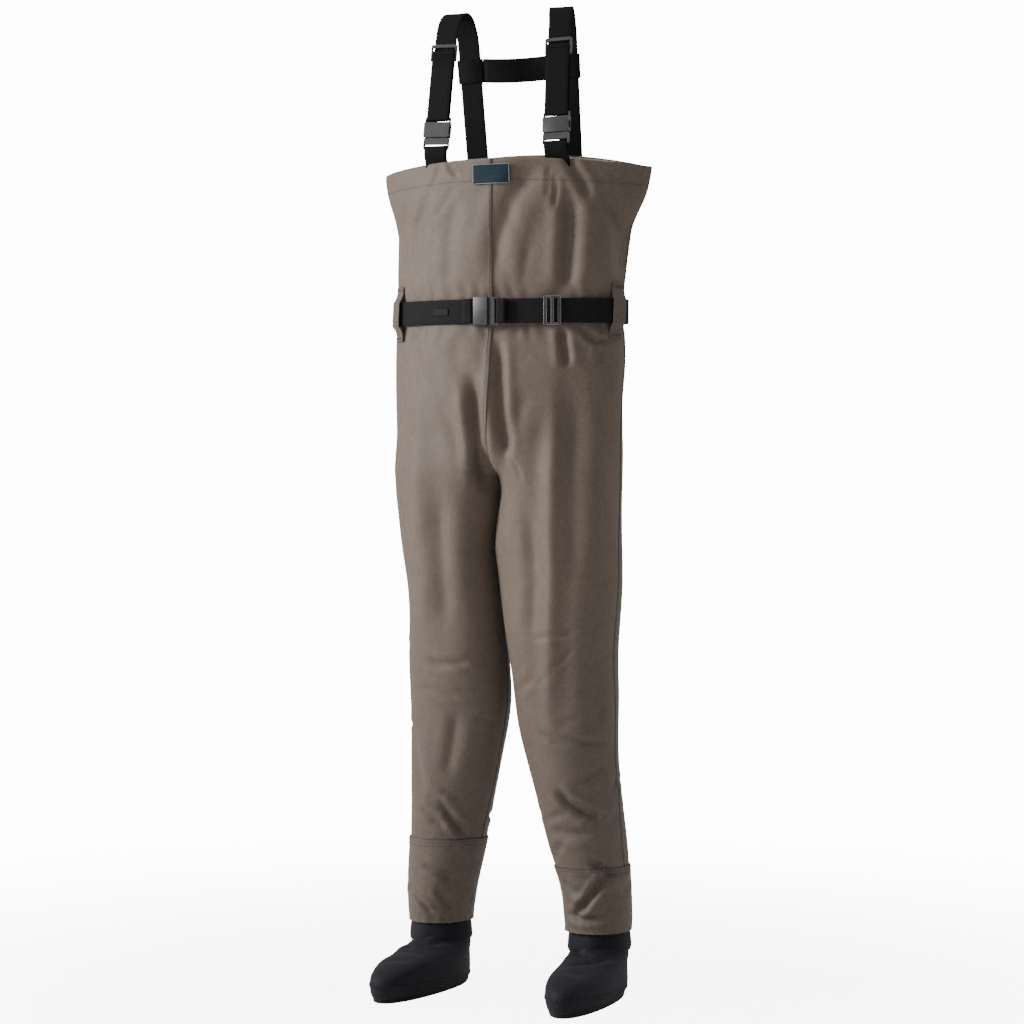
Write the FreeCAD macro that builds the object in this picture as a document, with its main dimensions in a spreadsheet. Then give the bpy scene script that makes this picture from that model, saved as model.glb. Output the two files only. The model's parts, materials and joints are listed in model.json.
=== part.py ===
import FreeCAD, Part
import math
import os
import Sketcher
from FreeCAD import Placement, Rotation, Vector

# Stocking-foot chest waders on their suspenders and wading belt.
# Millimetres, +Z up, the chest faces -Y, and z = 0 is under the bootie soles.
# "left" and "right" are the wearer's: the left side is +X.

doc = FreeCAD.newDocument("chest_waders")
sheet = doc.addObject("Spreadsheet::Sheet", "dims")

# ---------------------------------------------------------------- driving dimensions

DIMENSIONS = {
    # garment fabric
    "fabric_thick": 1.5,
    "lining_gap": 0.1,
    "lining_thick": 0.8,
    "facing_deep": 44,
    "tape_wide": 22,
    "stand_y": 45.3,
    "rim_side_z": 1298,
    "rim_centre_z": 1319,
    # fabric hinges
    "hip_z": 832,
    "hip_y": -10,
    "hip_radius": 101,
    "knee_z": 500,
    "knee_y": -8,
    "knee_radius": 89,
    "hinge_gap": 1,
    # lower legs and feet
    "guard_top_z": 225,
    "guard_hem_z": 104,
    "elastic_tall": 16,
    "ankle_x": 133,
    "ankle_y": 30,
    "cuff_low_z": 71,
    "cuff_top_z": 122,
    "cuff_radius": 49.5,
    "neoprene_thick": 4,
    "sole_thick": 5,
    "bootie_top_z": 130,
    "ankle_radius": 44.6,
    "ankle_low_z": 62,
    "toe_out_left": 0,
    "toe_out_right": 8,
    # webbing
    "webbing_wide": 38,
    "webbing_thick": 1.8,
    "belt_z": 1075,
    "belt_clear": 3,
    "layer_gap": 0.3,
    # side-release buckle
    "socket_wide": 43,
    "socket_thick": 11,
    "socket_wall": 1.6,
    "socket_body": 24,
    "socket_deep": 22.5,
    "socket_tall": 32,
    "bar_tall": 4,
    "slot_tall": 4,
    "plug_wide": 43,
    "plug_tall": 19,
    "plug_thick": 5,
    "tongue_wide": 7,
    "tongue_tall": 19,
    "tongue_thick": 3,
    "prong_in": 10.2,
    "prong_out": 17.6,
    "prong_tall": 20,
    "prong_thick": 4,
    "prong_gap": 0.2,
    "cavity_thick": 6.4,
    "slot_wide": 39.2,
    "bar_thick": 4,
    "window_low": 6,
    "window_high": 17,
    "corner_round": 3,
    # web sliders
    "slider_wide": 44,
    "slider_tall": 27,
    "slider_thick": 4,
    "slider_slot": 6.5,
    "slider_bar": 4,
    # trim
    "front_webbing_tall": 116,
    "label_wide": 60,
    "label_tall": 27,
    "label_thick": 0.6,
    "belt_label_wide": 24,
    "belt_label_tall": 9,
    "loop_wide": 25,
    "loop_tall": 86,
    "loop_thick": 1.6,
    "seat_step": 12,
    "stitch_thick": 0.6,
}

# Garment outline by level, for the left half: z, outer and inner x, x of the front ridge,
# front y, back y, y of the side seam, and how pointed the front is (1 is an ellipse).
# Above the crotch the inner side runs past x = 0.
LEVELS = {
    "top":     (1345, 226, -226, 0, -106, 30, 0, 1.28),
    "rim":     (1298, 222, -222, 0, -105, 33, 0, 1.25),
    "chest":   (1190, 197, -197, 0, -104, 48, -2, 1.15),
    "waist":   (1075, 193, -193, 0, -98, 64, -4, 1),
    "hips":    (1000, 193, -190, 0, -99, 76, -6, 1),
    "seat":    (930, 191, -150, 4, -100, 82, -8, 1),
    "fork_a":  (885, 189, -85, 20, -99, 82, -9, 1),
    "fork_b":  (852, 188, -32, 48, -98, 80, -10, 0.95),
    "crotch":  (820, 187, 0, 72, -97, 77, -10, 0.9),
    "groin":   (788, 186, 3, 85, -95, 73, -11, 0.9),
    "thigh":   (735, 184, 4, 93, -92, 68, -12, 0.9),
    "above":   (640, 178, 9, 94, -88, 64, -12, 0.9),
    "knee":    (500, 172, 13, 92, -84, 67, -8, 0.95),
    "calf":    (364, 173, 31, 102, -66, 74, 4, 1),
    "shin":    (243, 182, 60, 121, -43, 79, 18, 1),
    "ankle":   (150, 187, 76, 131, -28, 84, 28, 1),
    "hem":     (104, 188, 79, 133, -24, 84, 30, 1),
    "under":   (84, 188, 79, 133, -24, 84, 30, 1),
}
TOP_Z = LEVELS["top"][0]
FAR = 400  # cutting slabs reach this far from the middle, past every surface
LEVEL_FIELDS = ("z", "outer", "inner", "ridge", "front", "back", "seam", "point")

# Bootie outline by level about its ankle: z, toe y, heel y, half width, y of the widest place.
FOOT_LEVELS = {
    "sole":    (5, -203, 56, 42, -50),
    "welt":    (20, -212, 62, 50, -55),
    "toebox":  (38, -209, 62, 51, -60),
    "instep":  (52, -186, 60, 49, -45),
    "arch":    (62, -118, 54, 47, -20),
    "collar":  (70, -60, 48, 44, 0),
}
FOOT_FIELDS = ("z", "toe", "heel", "half", "wide")

SIDES = {"left": 1, "right": -1}


def fill_sheet():
    """Write every dimension to the sheet, each under its own alias."""
    values = dict(DIMENSIONS)
    for name, numbers in LEVELS.items():
        for field, number in zip(LEVEL_FIELDS, numbers):
            values[f"{name}_{field}"] = number
    for name, numbers in FOOT_LEVELS.items():
        for field, number in zip(FOOT_FIELDS, numbers):
            values[f"foot_{name}_{field}"] = number
    for row, (name, number) in enumerate(values.items(), start=1):
        sheet.set(f"A{row}", name)
        sheet.set(f"B{row}", str(number))
        sheet.setAlias(f"B{row}", name)
    doc.recompute()


def size(name):
    """The sheet's value under this alias."""
    return float(sheet.get(name))


# ---------------------------------------------------------------- building blocks

def feature(label, shape, place=None):
    """A sub-part whose shape is worked out from the sheet."""
    item = doc.addObject("Part::Feature", label)
    item.Label = label
    item.Shape = shape
    if place is not None:
        item.Placement = place
    return item


def outline(outer, inner, ridge, front, back, seam, point, grow):
    """Points of a closed curve made of four quarter ellipses, moved outwards by grow."""
    steps = 6
    corners = (
        (outer + grow, front - grow, point),
        (outer + grow, back + grow, 1),
        (inner - grow, back + grow, 1),
        (inner - grow, front - grow, point),
    )
    points = []
    for quarter, (far_x, far_y, power) in enumerate(corners):
        for step in range(steps):
            angle = math.radians(90 * step / steps)
            along, across = math.sin(angle) ** power, math.cos(angle) ** power
            if quarter % 2:
                along, across = across, along
            points.append((ridge + (far_x - ridge) * along, seam + (far_y - seam) * across))
    return points


def closed_wire(points, z):
    """A smooth closed wire through the points at one height."""
    curve = Part.BSplineCurve()
    curve.interpolate(Points=[Vector(x, y, z) for x, y in points], PeriodicFlag=True)
    return Part.Wire([curve.toShape()])


def garment_loft(grow):
    """The left half of the garment as a solid, its surface moved outwards by grow."""
    wires = []
    for name in LEVELS:
        points = outline(*[size(f"{name}_{field}") for field in LEVEL_FIELDS[1:]], grow)
        wires.append(closed_wire(points, size(f"{name}_z")))
    return Part.makeLoft(wires, True, False)


def slab(low, high):
    """A box from its lowest to its highest corner."""
    low, high = Vector(*low), Vector(*high)
    span = high - low
    return Part.makeBox(span.x, span.y, span.z, low)


def hinge_roll(y, z, radius):
    """A roller along X, over the whole width."""
    reach = 600
    return Part.makeCylinder(radius, reach, Vector(-reach / 2, y, z), Vector(1, 0, 0))


def mirrored(shape):
    """The same shape on the other side of the body."""
    return shape.mirror(Vector(0, 0, 0), Vector(1, 0, 0))


def both_sides(name, shape):
    """The left piece, and its mirror image on the right."""
    feature(f"{name}_left", shape)
    feature(f"{name}_right", mirrored(shape))


# ---------------------------------------------------------------- garment

def rim_trimmed(shape):
    """Cut the top along the rim, which rises in an arc from the sides to the centres."""
    half, side, centre = size("rim_outer") + 8, size("rim_side_z"), size("rim_centre_z")
    arc = Part.Arc(Vector(-half, -FAR, side), Vector(0, -FAR, centre), Vector(half, -FAR, side))
    lid = Part.Wire([
        arc.toShape(),
        Part.makeLine(Vector(half, -FAR, side), Vector(half, -FAR, side + FAR)),
        Part.makeLine(Vector(half, -FAR, side + FAR), Vector(-half, -FAR, side + FAR)),
        Part.makeLine(Vector(-half, -FAR, side + FAR), Vector(-half, -FAR, side)),
    ])
    return shape.cut(Part.Face(lid).extrude(Vector(0, 2 * FAR, 0)))


def make_garment(outer, inner):
    """Bib, thigh, shin and gravel-guard panels, cut from one skin."""
    skin = outer.cut(inner).common(slab((0, -FAR, 0), (FAR, FAR, TOP_Z)))
    hip_y, hip_z, hip_radius = size("hip_y"), size("hip_z"), size("hip_radius")
    knee_y, knee_z, knee_radius = size("knee_y"), size("knee_z"), size("knee_radius")
    gap = size("hinge_gap")

    above_hip = slab((0, -FAR, hip_z), (FAR, FAR, TOP_Z)).fuse(hinge_roll(hip_y, hip_z, hip_radius))
    trunk = rim_trimmed(skin.common(above_hip))
    side_seam = size("hip_y")
    both_sides("bib_front", trunk.common(slab((0, -FAR, 0), (FAR, side_seam, TOP_Z))))
    both_sides("bib_back", trunk.common(slab((0, side_seam, 0), (FAR, FAR, TOP_Z))))

    thigh = skin.common(slab((0, -FAR, knee_z), (FAR, FAR, hip_z)))
    thigh = thigh.cut(hinge_roll(hip_y, hip_z, hip_radius + gap))
    knee_cap = skin.common(hinge_roll(knee_y, knee_z, knee_radius)).common(
        slab((0, -FAR, 0), (FAR, FAR, knee_z)))
    both_sides("thigh_panel", thigh.fuse(knee_cap).removeSplitter())

    guard_top, guard_hem = size("guard_top_z"), size("guard_hem_z")
    shin = skin.common(slab((0, -FAR, guard_top), (FAR, FAR, knee_z)))
    both_sides("shin_panel", shin.cut(hinge_roll(knee_y, knee_z, knee_radius + gap)))
    both_sides("gravel_guard", skin.common(slab((0, -FAR, guard_hem), (FAR, FAR, guard_top))))


def make_linings(layer_outer, layer_inner):
    """What lies against the inside of the fabric: rim facing, seam tapes, hem elastics."""
    layer = layer_outer.cut(layer_inner)
    gap = size("lining_gap")
    facing_low = size("rim_side_z") - size("facing_deep")
    half_facing = layer.common(slab((0, -FAR, facing_low), (FAR, FAR, TOP_Z)))
    half_facing = rim_trimmed(half_facing)
    feature("rim_facing", half_facing.fuse(mirrored(half_facing)))

    half_tape = size("tape_wide") / 2
    half = layer.common(slab((0, -FAR, size("seat_z")), (half_tape, FAR, facing_low - gap)))
    tape = half.fuse(mirrored(half))
    feature("seam_tape_front", tape.common(slab((-half_tape, -FAR, 0), (half_tape, 0, TOP_Z))))
    feature("seam_tape_back", tape.common(slab((-half_tape, 0, 0), (half_tape, FAR, TOP_Z))))

    hem = size("guard_hem_z") + 1
    both_sides("hem_elastic", layer.common(slab((0, -FAR, hem), (FAR, FAR, hem + size("elastic_tall")))))


def make_ankle_linings(lining_outer, lining_inner):
    """The leg fabric that runs on under the gravel guard to the bootie."""
    low = size("bootie_top_z") + 1
    lining = lining_outer.cut(lining_inner)
    both_sides("ankle_lining", lining.common(slab((0, -FAR, low), (FAR, FAR, size("guard_top_z") - 1))))


# ---------------------------------------------------------------- feet

def foot_loft(grow, lowest):
    """The foot of the bootie about its ankle, its surface moved outwards by grow."""
    wires = []
    for name in FOOT_LEVELS:
        toe, heel, half, wide = [size(f"foot_{name}_{f}") for f in FOOT_FIELDS[1:]]
        z = size(f"foot_{name}_z")
        z = lowest if name == "sole" else z
        wires.append(closed_wire(outline(half, -half, 0, toe, heel, wide, 1, grow), z))
    collar = size("foot_collar_z") + grow
    return Part.makeLoft(wires, True, False).common(slab((-FAR, -FAR, 0), (FAR, FAR, collar)))


def foot_solid(grow, lowest):
    """Foot and ankle tube of the bootie as one solid."""
    ankle_low, top = size("ankle_low_z"), size("bootie_top_z")
    tube = Part.makeCylinder(size("ankle_radius") + grow, top - ankle_low - grow, Vector(0, 0, ankle_low))
    return foot_loft(grow, lowest).fuse(tube)


def make_feet():
    """Bootie uppers, soles and the folded neoprene cuffs round the ankles."""
    thick, sole = size("neoprene_thick"), size("sole_thick")
    upper = foot_solid(0, sole).cut(foot_solid(-thick, sole - 0.5))
    footprint = [size(f"foot_sole_{f}") for f in FOOT_FIELDS[1:]]
    toe, heel, half, wide = footprint
    edge = closed_wire(outline(half, -half, 0, toe, heel, wide, 1, 0), 0)
    bottom = Part.Face(edge).extrude(Vector(0, 0, sole))

    low, top, radius = size("cuff_low_z"), size("cuff_top_z"), size("cuff_radius")
    cuff = Part.makeCylinder(radius, top - low, Vector(0, 0, low))
    cuff = cuff.cut(Part.makeCylinder(radius - thick, top - low, Vector(0, 0, low)))
    for side, sign in SIDES.items():
        turn = Rotation(Vector(0, 0, 1), sign * size(f"toe_out_{side}"))
        place = Placement(Vector(sign * size("ankle_x"), size("ankle_y"), 0), turn)
        feature(f"bootie_upper_{side}", upper, place)
        feature(f"bootie_sole_{side}", bottom, place)
        feature(f"neoprene_cuff_{side}", cuff, place)


# ---------------------------------------------------------------- moulded hardware
# Each piece is drawn flat: the webbing runs along Z, the face looks along -Y.

class Moulding:
    """A PartDesign body built up from blocks whose corners are sheet expressions."""

    def __init__(self, label, place):
        self.body = doc.addObject("PartDesign::Body", label)
        self.body.Label = label
        self.body.Placement = place
        self.label = label
        self.count = 0

    def sketch(self, x_low, x_high, z_low, z_high):
        """A rectangle on the upright plane, with its four limits bound to the sheet."""
        self.count += 1
        sketch = self.body.newObject("Sketcher::SketchObject", f"{self.label}_sketch_{self.count}")
        planes = [p for p in self.body.Origin.OriginFeatures if p.Role == "XZ_Plane"]
        sketch.AttachmentSupport = (planes[0], [""])
        sketch.MapMode = "FlatFace"
        corners = [Vector(0, 0, 0), Vector(10, 0, 0), Vector(10, 10, 0), Vector(0, 10, 0)]
        for index in range(4):
            sketch.addGeometry(Part.LineSegment(corners[index], corners[(index + 1) % 4]), False)
        for index in range(4):
            sketch.addConstraint(Sketcher.Constraint("Coincident", index, 2, (index + 1) % 4, 1))
        for index in (0, 2):
            sketch.addConstraint(Sketcher.Constraint("Horizontal", index))
        for index in (1, 3):
            sketch.addConstraint(Sketcher.Constraint("Vertical", index))
        limits = (
            ("DistanceX", 0, 1, x_low, "x_low", 0),
            ("DistanceY", 0, 1, z_low, "z_low", 0),
            ("DistanceX", 2, 1, x_high, "x_high", 10),
            ("DistanceY", 2, 1, z_high, "z_high", 10),
        )
        for kind, line, end, expression, name, start in limits:
            number = sketch.addConstraint(Sketcher.Constraint(kind, -1, 1, line, end, start))
            sketch.renameConstraint(number, name)
            sketch.setExpression(f"Constraints.{name}", expression)
        return sketch

    def block(self, x_low, x_high, z_low, z_high, thick):
        """Add a block centred on the face plane."""
        sketch = self.sketch(x_low, x_high, z_low, z_high)
        pad = self.body.newObject("PartDesign::Pad", f"{self.label}_pad_{self.count}")
        pad.Profile = sketch
        pad.Midplane = True
        pad.setExpression("Length", thick)
        self.body.Tip = pad
        doc.recompute()
        return pad

    def pocket(self, x_low, x_high, z_low, z_high, thick):
        """Cut a block centred on the face plane."""
        before = self.body.Shape.Volume
        sketch = self.sketch(x_low, x_high, z_low, z_high)
        cut = self.body.newObject("PartDesign::Pocket", f"{self.label}_pocket_{self.count}")
        cut.Profile = sketch
        cut.Midplane = True
        cut.setExpression("Length", thick)
        self.body.Tip = cut
        doc.recompute()
        if self.body.Shape.Volume >= before:
            raise RuntimeError(f"{cut.Name} cuts nothing")
        return cut

    def round_corners(self, radius):
        """Round the four outermost corners, which run through the thickness."""
        base = self.body.Tip
        box = base.Shape.BoundBox
        names = []
        for number, edge in enumerate(base.Shape.Edges, start=1):
            first, last = edge.firstVertex().Point, edge.lastVertex().Point
            through = abs(first.x - last.x) < 1e-6 and abs(first.z - last.z) < 1e-6
            at_side = abs(first.x) > box.XMax - 0.01
            at_end = min(abs(first.z - box.ZMin), abs(first.z - box.ZMax)) < 0.01
            if through and at_side and at_end:
                names.append(f"Edge{number}")
        fillet = self.body.newObject("PartDesign::Fillet", f"{self.label}_fillet")
        fillet.Base = (base, names)
        fillet.setExpression("Radius", radius)
        self.body.Tip = fillet
        doc.recompute()


def make_socket(label, place):
    """Socket half of a buckle: a sleeve open at z = 0, side windows, and a webbing bar on top."""
    socket = Moulding(label, place)
    wide, tall = "dims.socket_wide / 2", "dims.socket_tall"
    socket.block(f"-{wide}", wide, "0", "dims.socket_body", "dims.socket_thick")
    socket.block(f"-{wide}", wide, "dims.socket_body - 1", tall, "dims.bar_thick")
    socket.round_corners("dims.corner_round / 2")
    cavity = "dims.socket_wide / 2 - dims.socket_wall * 2"
    socket.pocket(f"-({cavity})", cavity, "-1", "dims.socket_deep", "dims.cavity_thick")
    slot = "dims.slot_wide / 2"
    socket.pocket(f"-{slot}", slot, "dims.socket_body", f"{tall} - dims.bar_tall", "20")
    for low, high in ((f"-{wide} - 1", "-(dims.prong_out - 3)"), ("dims.prong_out - 3", f"{wide} + 1")):
        socket.pocket(low, high, "dims.window_low", "dims.window_high", "dims.cavity_thick + 0.4")


def make_plug(label, place):
    """Base of the plug half: a webbing bar with its slot, a plate and a guide tongue."""
    plug = Moulding(label, place)
    wide = "dims.plug_wide / 2"
    plug.block(f"-{wide}", wide, "-dims.plug_tall", "-0.3", "dims.plug_thick")
    plug.round_corners("dims.corner_round")
    slot = "dims.slot_wide / 2"
    low = "dims.bar_tall - dims.plug_tall"
    plug.pocket(f"-{slot}", slot, low, f"{low} + dims.slot_tall", "20")
    tongue = "dims.tongue_wide / 2"
    plug.block(f"-{tongue}", tongue, "-1", "dims.tongue_tall", "dims.tongue_thick")


def make_prong(label, place, sign):
    """One springy arm of the plug, with its barb facing outwards."""
    prong = Moulding(label, place)
    inner, outer = f"{sign} * dims.prong_in", f"{sign} * (dims.prong_out - 2.2)"
    barb = f"{sign} * dims.prong_out"
    low, high = (inner, outer) if sign > 0 else (outer, inner)
    prong.block(low, high, "0", "dims.prong_tall", "dims.prong_thick")
    low, high = (inner, barb) if sign > 0 else (barb, inner)
    prong.block(low, high, "dims.window_low + 1", "dims.window_high - 1", "dims.prong_thick")


def make_slider(label, place, tall):
    """A flat web slider: a frame with two slots either side of its middle bar."""
    slider = Moulding(label, place)
    wide, slot = "dims.slider_wide / 2", "dims.slot_wide / 2"
    slider.block(f"-{wide}", wide, f"-{tall} / 2", f"{tall} / 2", "dims.slider_thick")
    slider.round_corners("dims.corner_round")
    bar = "dims.slider_bar / 2"
    slider.pocket(f"-{slot}", slot, bar, f"{bar} + dims.slider_slot", "20")
    slider.pocket(f"-{slot}", slot, f"-{bar} - dims.slider_slot", f"-{bar}", "20")


def make_buckle(name, place):
    """Socket, plug base and two prongs of one side-release buckle."""
    make_socket(f"{name}_socket", place)
    make_plug(f"{name}_plug", place)
    make_prong(f"{name}_prong_a", place, 1)
    make_prong(f"{name}_prong_b", place, -1)


# ---------------------------------------------------------------- webbing

def band(stations, wide, thick):
    """A strap of flat runs between stations: middle point, direction across, its face."""
    rings = []
    for middle, across, face in stations:
        across, face = across.normalize() * (wide / 2), face.normalize() * (thick / 2)
        rings.append([middle + across + face, middle - across + face,
                      middle - across - face, middle + across - face])
    faces = [Part.Face(Part.makePolygon(ring + ring[:1])) for ring in (rings[0], rings[-1])]
    for near, far in zip(rings, rings[1:]):
        for index in range(4):
            following = (index + 1) % 4
            faces.append(Part.makeRuledSurface(Part.makeLine(near[index], near[following]),
                                               Part.makeLine(far[index], far[following])))
    shell = Part.makeShell(faces)
    shell.sewShape()
    solid = Part.makeSolid(shell)
    if solid.Volume < 0:
        solid.reverse()
    return solid


def bar_wrap(place, bar_z, bar_thick="bar_thick"):
    """The turn of webbing round a hardware bar of the named thickness."""
    wide, thick = size("webbing_wide"), size("webbing_thick")
    inner = size(bar_thick) / 2 + size("layer_gap")
    outer = inner + thick
    ring = slab((-wide / 2, -outer, bar_z - outer), (wide / 2, outer, bar_z + outer))
    ring = ring.cut(slab((-wide, -inner, bar_z - inner), (wide, inner, bar_z + inner)))
    return ring.transformGeometry(place.toMatrix())


def strap_layer(place, low, high, y_low):
    """A straight layer of webbing in a hardware frame."""
    wide, thick = size("webbing_wide"), size("webbing_thick")
    layer = slab((-wide / 2, y_low, low), (wide / 2, y_low + thick, high))
    return layer.transformGeometry(place.toMatrix())


def rotated(direction, start):
    """Placement at start whose Z runs along direction, with X kept level."""
    up = Vector(direction).normalize()
    face = Vector(-up.y * up.x, up.z * up.z + up.x * up.x, -up.y * up.z).normalize()
    side = face.cross(up).normalize()
    return Placement(start, Rotation(side, face, up, "ZXY"))


class Strap:
    """Where one shoulder strap runs, for the side given by sign."""

    def __init__(self, sign):
        self.low = Vector(sign * 102, -86, 1316)
        self.high = Vector(sign * 97, -62, 1483)
        self.front = rotated(self.high - self.low, self.low)
        self.buckle = self.front.multiply(Placement(Vector(0, 0, 33), Rotation()))
        self.slider = self.front.multiply(Placement(Vector(0, 0, 168.8), Rotation()))
        self.over = [Vector(sign * x, y, z) for x, y, z in (
            (95.5, -51, 1522), (92.5, -43, 1540), (89, -30, 1548), (86, -15, 1541), (84, -4, 1522))]
        self.back_top = Vector(sign * 83, 3, 1497)
        self.back_low = Vector(sign * 80, 34, 1308)
        self.back = rotated(self.back_top - self.back_low, self.back_low)
        self.level = Vector(sign, 0.05, 0)


def make_shoulder(side, sign):
    """One shoulder strap with its buckle, slider, tab and the webbing between them."""
    strap = Strap(sign)
    thick, gap = size("webbing_thick"), size("layer_gap")
    bar = size("bar_thick") / 2 + gap
    make_buckle(f"shoulder_{side}", strap.buckle)
    make_slider(f"shoulder_{side}_slider", strap.slider, "dims.slider_tall")

    plug_bar = size("bar_tall") / 2 - size("plug_tall")
    plug_wrap = size("plug_thick") / 2 + gap
    tab = bar_wrap(strap.buckle, plug_bar, "plug_thick")
    tab = tab.fuse(strap_layer(strap.buckle, -32.5, plug_bar - plug_wrap, -thick / 2))
    feature(f"plug_tab_{side}", tab)

    socket_bar = size("socket_tall") - size("bar_tall") / 2
    joint_z = size("front_webbing_tall")
    turn = bar_wrap(strap.buckle, socket_bar).fuse(bar_wrap(strap.slider, 0))
    turn = turn.fuse(strap_layer(strap.buckle, socket_bar, joint_z, bar))
    reach = strap.slider.Base.distanceToPoint(strap.buckle.Base)
    turn = turn.fuse(strap_layer(strap.buckle, socket_bar, reach, -bar - thick))
    feature(f"front_webbing_{side}", turn)

    offset = bar + thick + gap + thick / 2
    stations = []
    for along in (joint_z - 12, joint_z + 42):
        middle = strap.buckle.multVec(Vector(0, offset, along))
        across = strap.front.Rotation.multVec(Vector(sign, 0, 0))
        face = strap.front.Rotation.multVec(Vector(0, -sign, 0))
        stations.append((middle, across, face))
    route = strap.over
    for index, middle in enumerate(route):
        before = route[index - 1] if index else stations[-1][0]
        after = route[index + 1] if index + 1 < len(route) else strap.back_top
        face = strap.level.cross(after - before)
        stations.append((middle, strap.level * 1, face))
    back_face = strap.level.cross(strap.back_low - strap.back_top)
    back_across = strap.back.Rotation.multVec(Vector(1, 0, 0)) * sign
    stations.append((strap.back_top, back_across * 1, back_face * 1))
    stations.append((strap.back_low, back_across * 1, back_face * 1))
    feature(f"shoulder_webbing_{side}", band(stations, size("webbing_wide"), thick))


def make_cross_strap():
    """The strap across the back, and the sleeve at each end that wraps a shoulder strap."""
    wide, thick, gap = size("webbing_wide"), size("webbing_thick"), size("layer_gap")
    up_strap = 156
    inner_x, inner_y = wide / 2 + 1, thick / 2 + gap
    ends = []
    for side, sign in SIDES.items():
        place = Strap(sign).back.multiply(Placement(Vector(0, 0, up_strap), Rotation()))
        sleeve = slab((-inner_x - thick, -inner_y - thick, -wide / 2),
                      (inner_x + thick, inner_y + thick, wide / 2))
        sleeve = sleeve.cut(slab((-inner_x, -inner_y, -wide), (inner_x, inner_y, wide)))
        feature(f"cross_sleeve_{side}", sleeve.transformGeometry(place.toMatrix()))
        edge = place.multVec(Vector(-sign * (inner_x + thick + 1), 0, 0))
        ends.append((edge, place.Rotation.multVec(Vector(0, 0, 1)), place))
    middle = (ends[0][0] + ends[1][0]) / 2 - Vector(0, 0, 2)
    face = Vector(0, 1, 0.16)
    stations = [(ends[0][0], ends[0][1], face * 1), (middle, ends[0][1], face * 1),
                (ends[1][0], ends[0][1], face * 1)]
    feature("cross_strap", band(stations, wide, thick))


# ---------------------------------------------------------------- belt

def waist_outline(grow):
    """The garment's outline at the belt, moved outwards."""
    numbers = [size(f"waist_{field}") for field in LEVEL_FIELDS[1:]]
    return outline(*numbers, grow)


def waist_front(x, grow):
    """Front y of the waist outline at this x."""
    front, seam, outer = size("waist_front"), size("waist_seam"), size("waist_outer")
    return seam + (front - grow - seam) * math.sqrt(1 - (x / (outer + grow)) ** 2)


def waist_turn(x):
    """Angle in degrees by which the front of the waist faces sideways at this x."""
    step = 1
    rise = waist_front(x + step, 0) - waist_front(x - step, 0)
    return math.degrees(math.atan2(rise, 2 * step))


def belt_ring(grow):
    """One full turn of belt webbing at this distance from the fabric."""
    low = size("belt_z") - size("webbing_wide") / 2
    up = Vector(0, 0, size("webbing_wide"))
    outer = Part.Face(closed_wire(waist_outline(grow + size("webbing_thick")), low)).extrude(up)
    inner = Part.Face(closed_wire(waist_outline(grow), low)).extrude(up)
    return outer.cut(inner)


def along_belt(x, grow, lift=0):
    """Placement on the belt at x: the piece's Z runs along the belt towards -X."""
    face_turn = Rotation(Vector(0, 0, 1), waist_turn(x))
    base = Vector(x, waist_front(x, 0), size("belt_z"))
    base += face_turn.multVec(Vector(0, -grow, 0)) + Vector(0, 0, lift)
    return Placement(base, face_turn.multiply(Rotation(Vector(0, 1, 0), -90)))


def make_belt():
    """Wading belt: webbing, buckle, tri-glide, tail and label."""
    clear, thick, gap = size("belt_clear"), size("webbing_thick"), size("layer_gap")
    buckle_x, glide_x = -2, 97
    off_fabric = clear + thick + gap + size("plug_thick") / 2
    buckle = Placement(along_belt(0, off_fabric).Base + Vector(buckle_x, 0, 0),
                       Rotation(Vector(0, 1, 0), -90))
    make_buckle("belt", buckle)
    make_slider("belt_tri_glide", along_belt(glide_x, clear + thick + gap + size("slider_thick") / 2),
                "dims.slider_tall")

    ring = belt_ring(clear)
    socket_x = buckle_x - size("socket_tall") + size("bar_tall") / 2
    plug_x = buckle_x + size("plug_tall") - size("bar_tall") / 2
    gone = slab((socket_x, -FAR, 0), (glide_x + 0.2, 0, TOP_Z))
    socket_bar = size("socket_tall") - size("bar_tall") / 2
    feature("belt_webbing", ring.cut(gone).fuse(bar_wrap(buckle, socket_bar)))
    short = ring.common(slab((plug_x, -FAR, 0), (glide_x, 0, TOP_Z)))
    plug_bar = size("bar_tall") / 2 - size("plug_tall")
    feature("belt_front_webbing", short.fuse(bar_wrap(buckle, plug_bar, "plug_thick")))
    tail = belt_ring(clear + thick + gap)
    tail_start, tail_end = 119, 187
    feature("belt_tail", tail.common(slab((tail_start, -FAR, 0), (tail_end, 0, TOP_Z))))

    label = Moulding("belt_label", along_belt(-87, clear + thick + gap))
    half_wide, half_tall = "dims.belt_label_wide / 2", "dims.belt_label_tall / 2"
    label.block(f"-{half_tall}", half_tall, f"-{half_wide}", half_wide, "dims.label_thick / 2")


def loop_places():
    """Name and placement of each belt loop: local -Y faces away from the body, Z is up."""
    side_x = 178
    turn = waist_turn(side_x)
    y = waist_front(side_x, 0)
    z = size("belt_z")
    return {
        "left": Placement(Vector(side_x, y, z), Rotation(Vector(0, 0, 1), turn)),
        "right": Placement(Vector(-side_x, y, z), Rotation(Vector(0, 0, 1), -turn)),
        "back": Placement(Vector(0, size("waist_back"), z), Rotation(Vector(0, 0, 1), 180)),
    }


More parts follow.
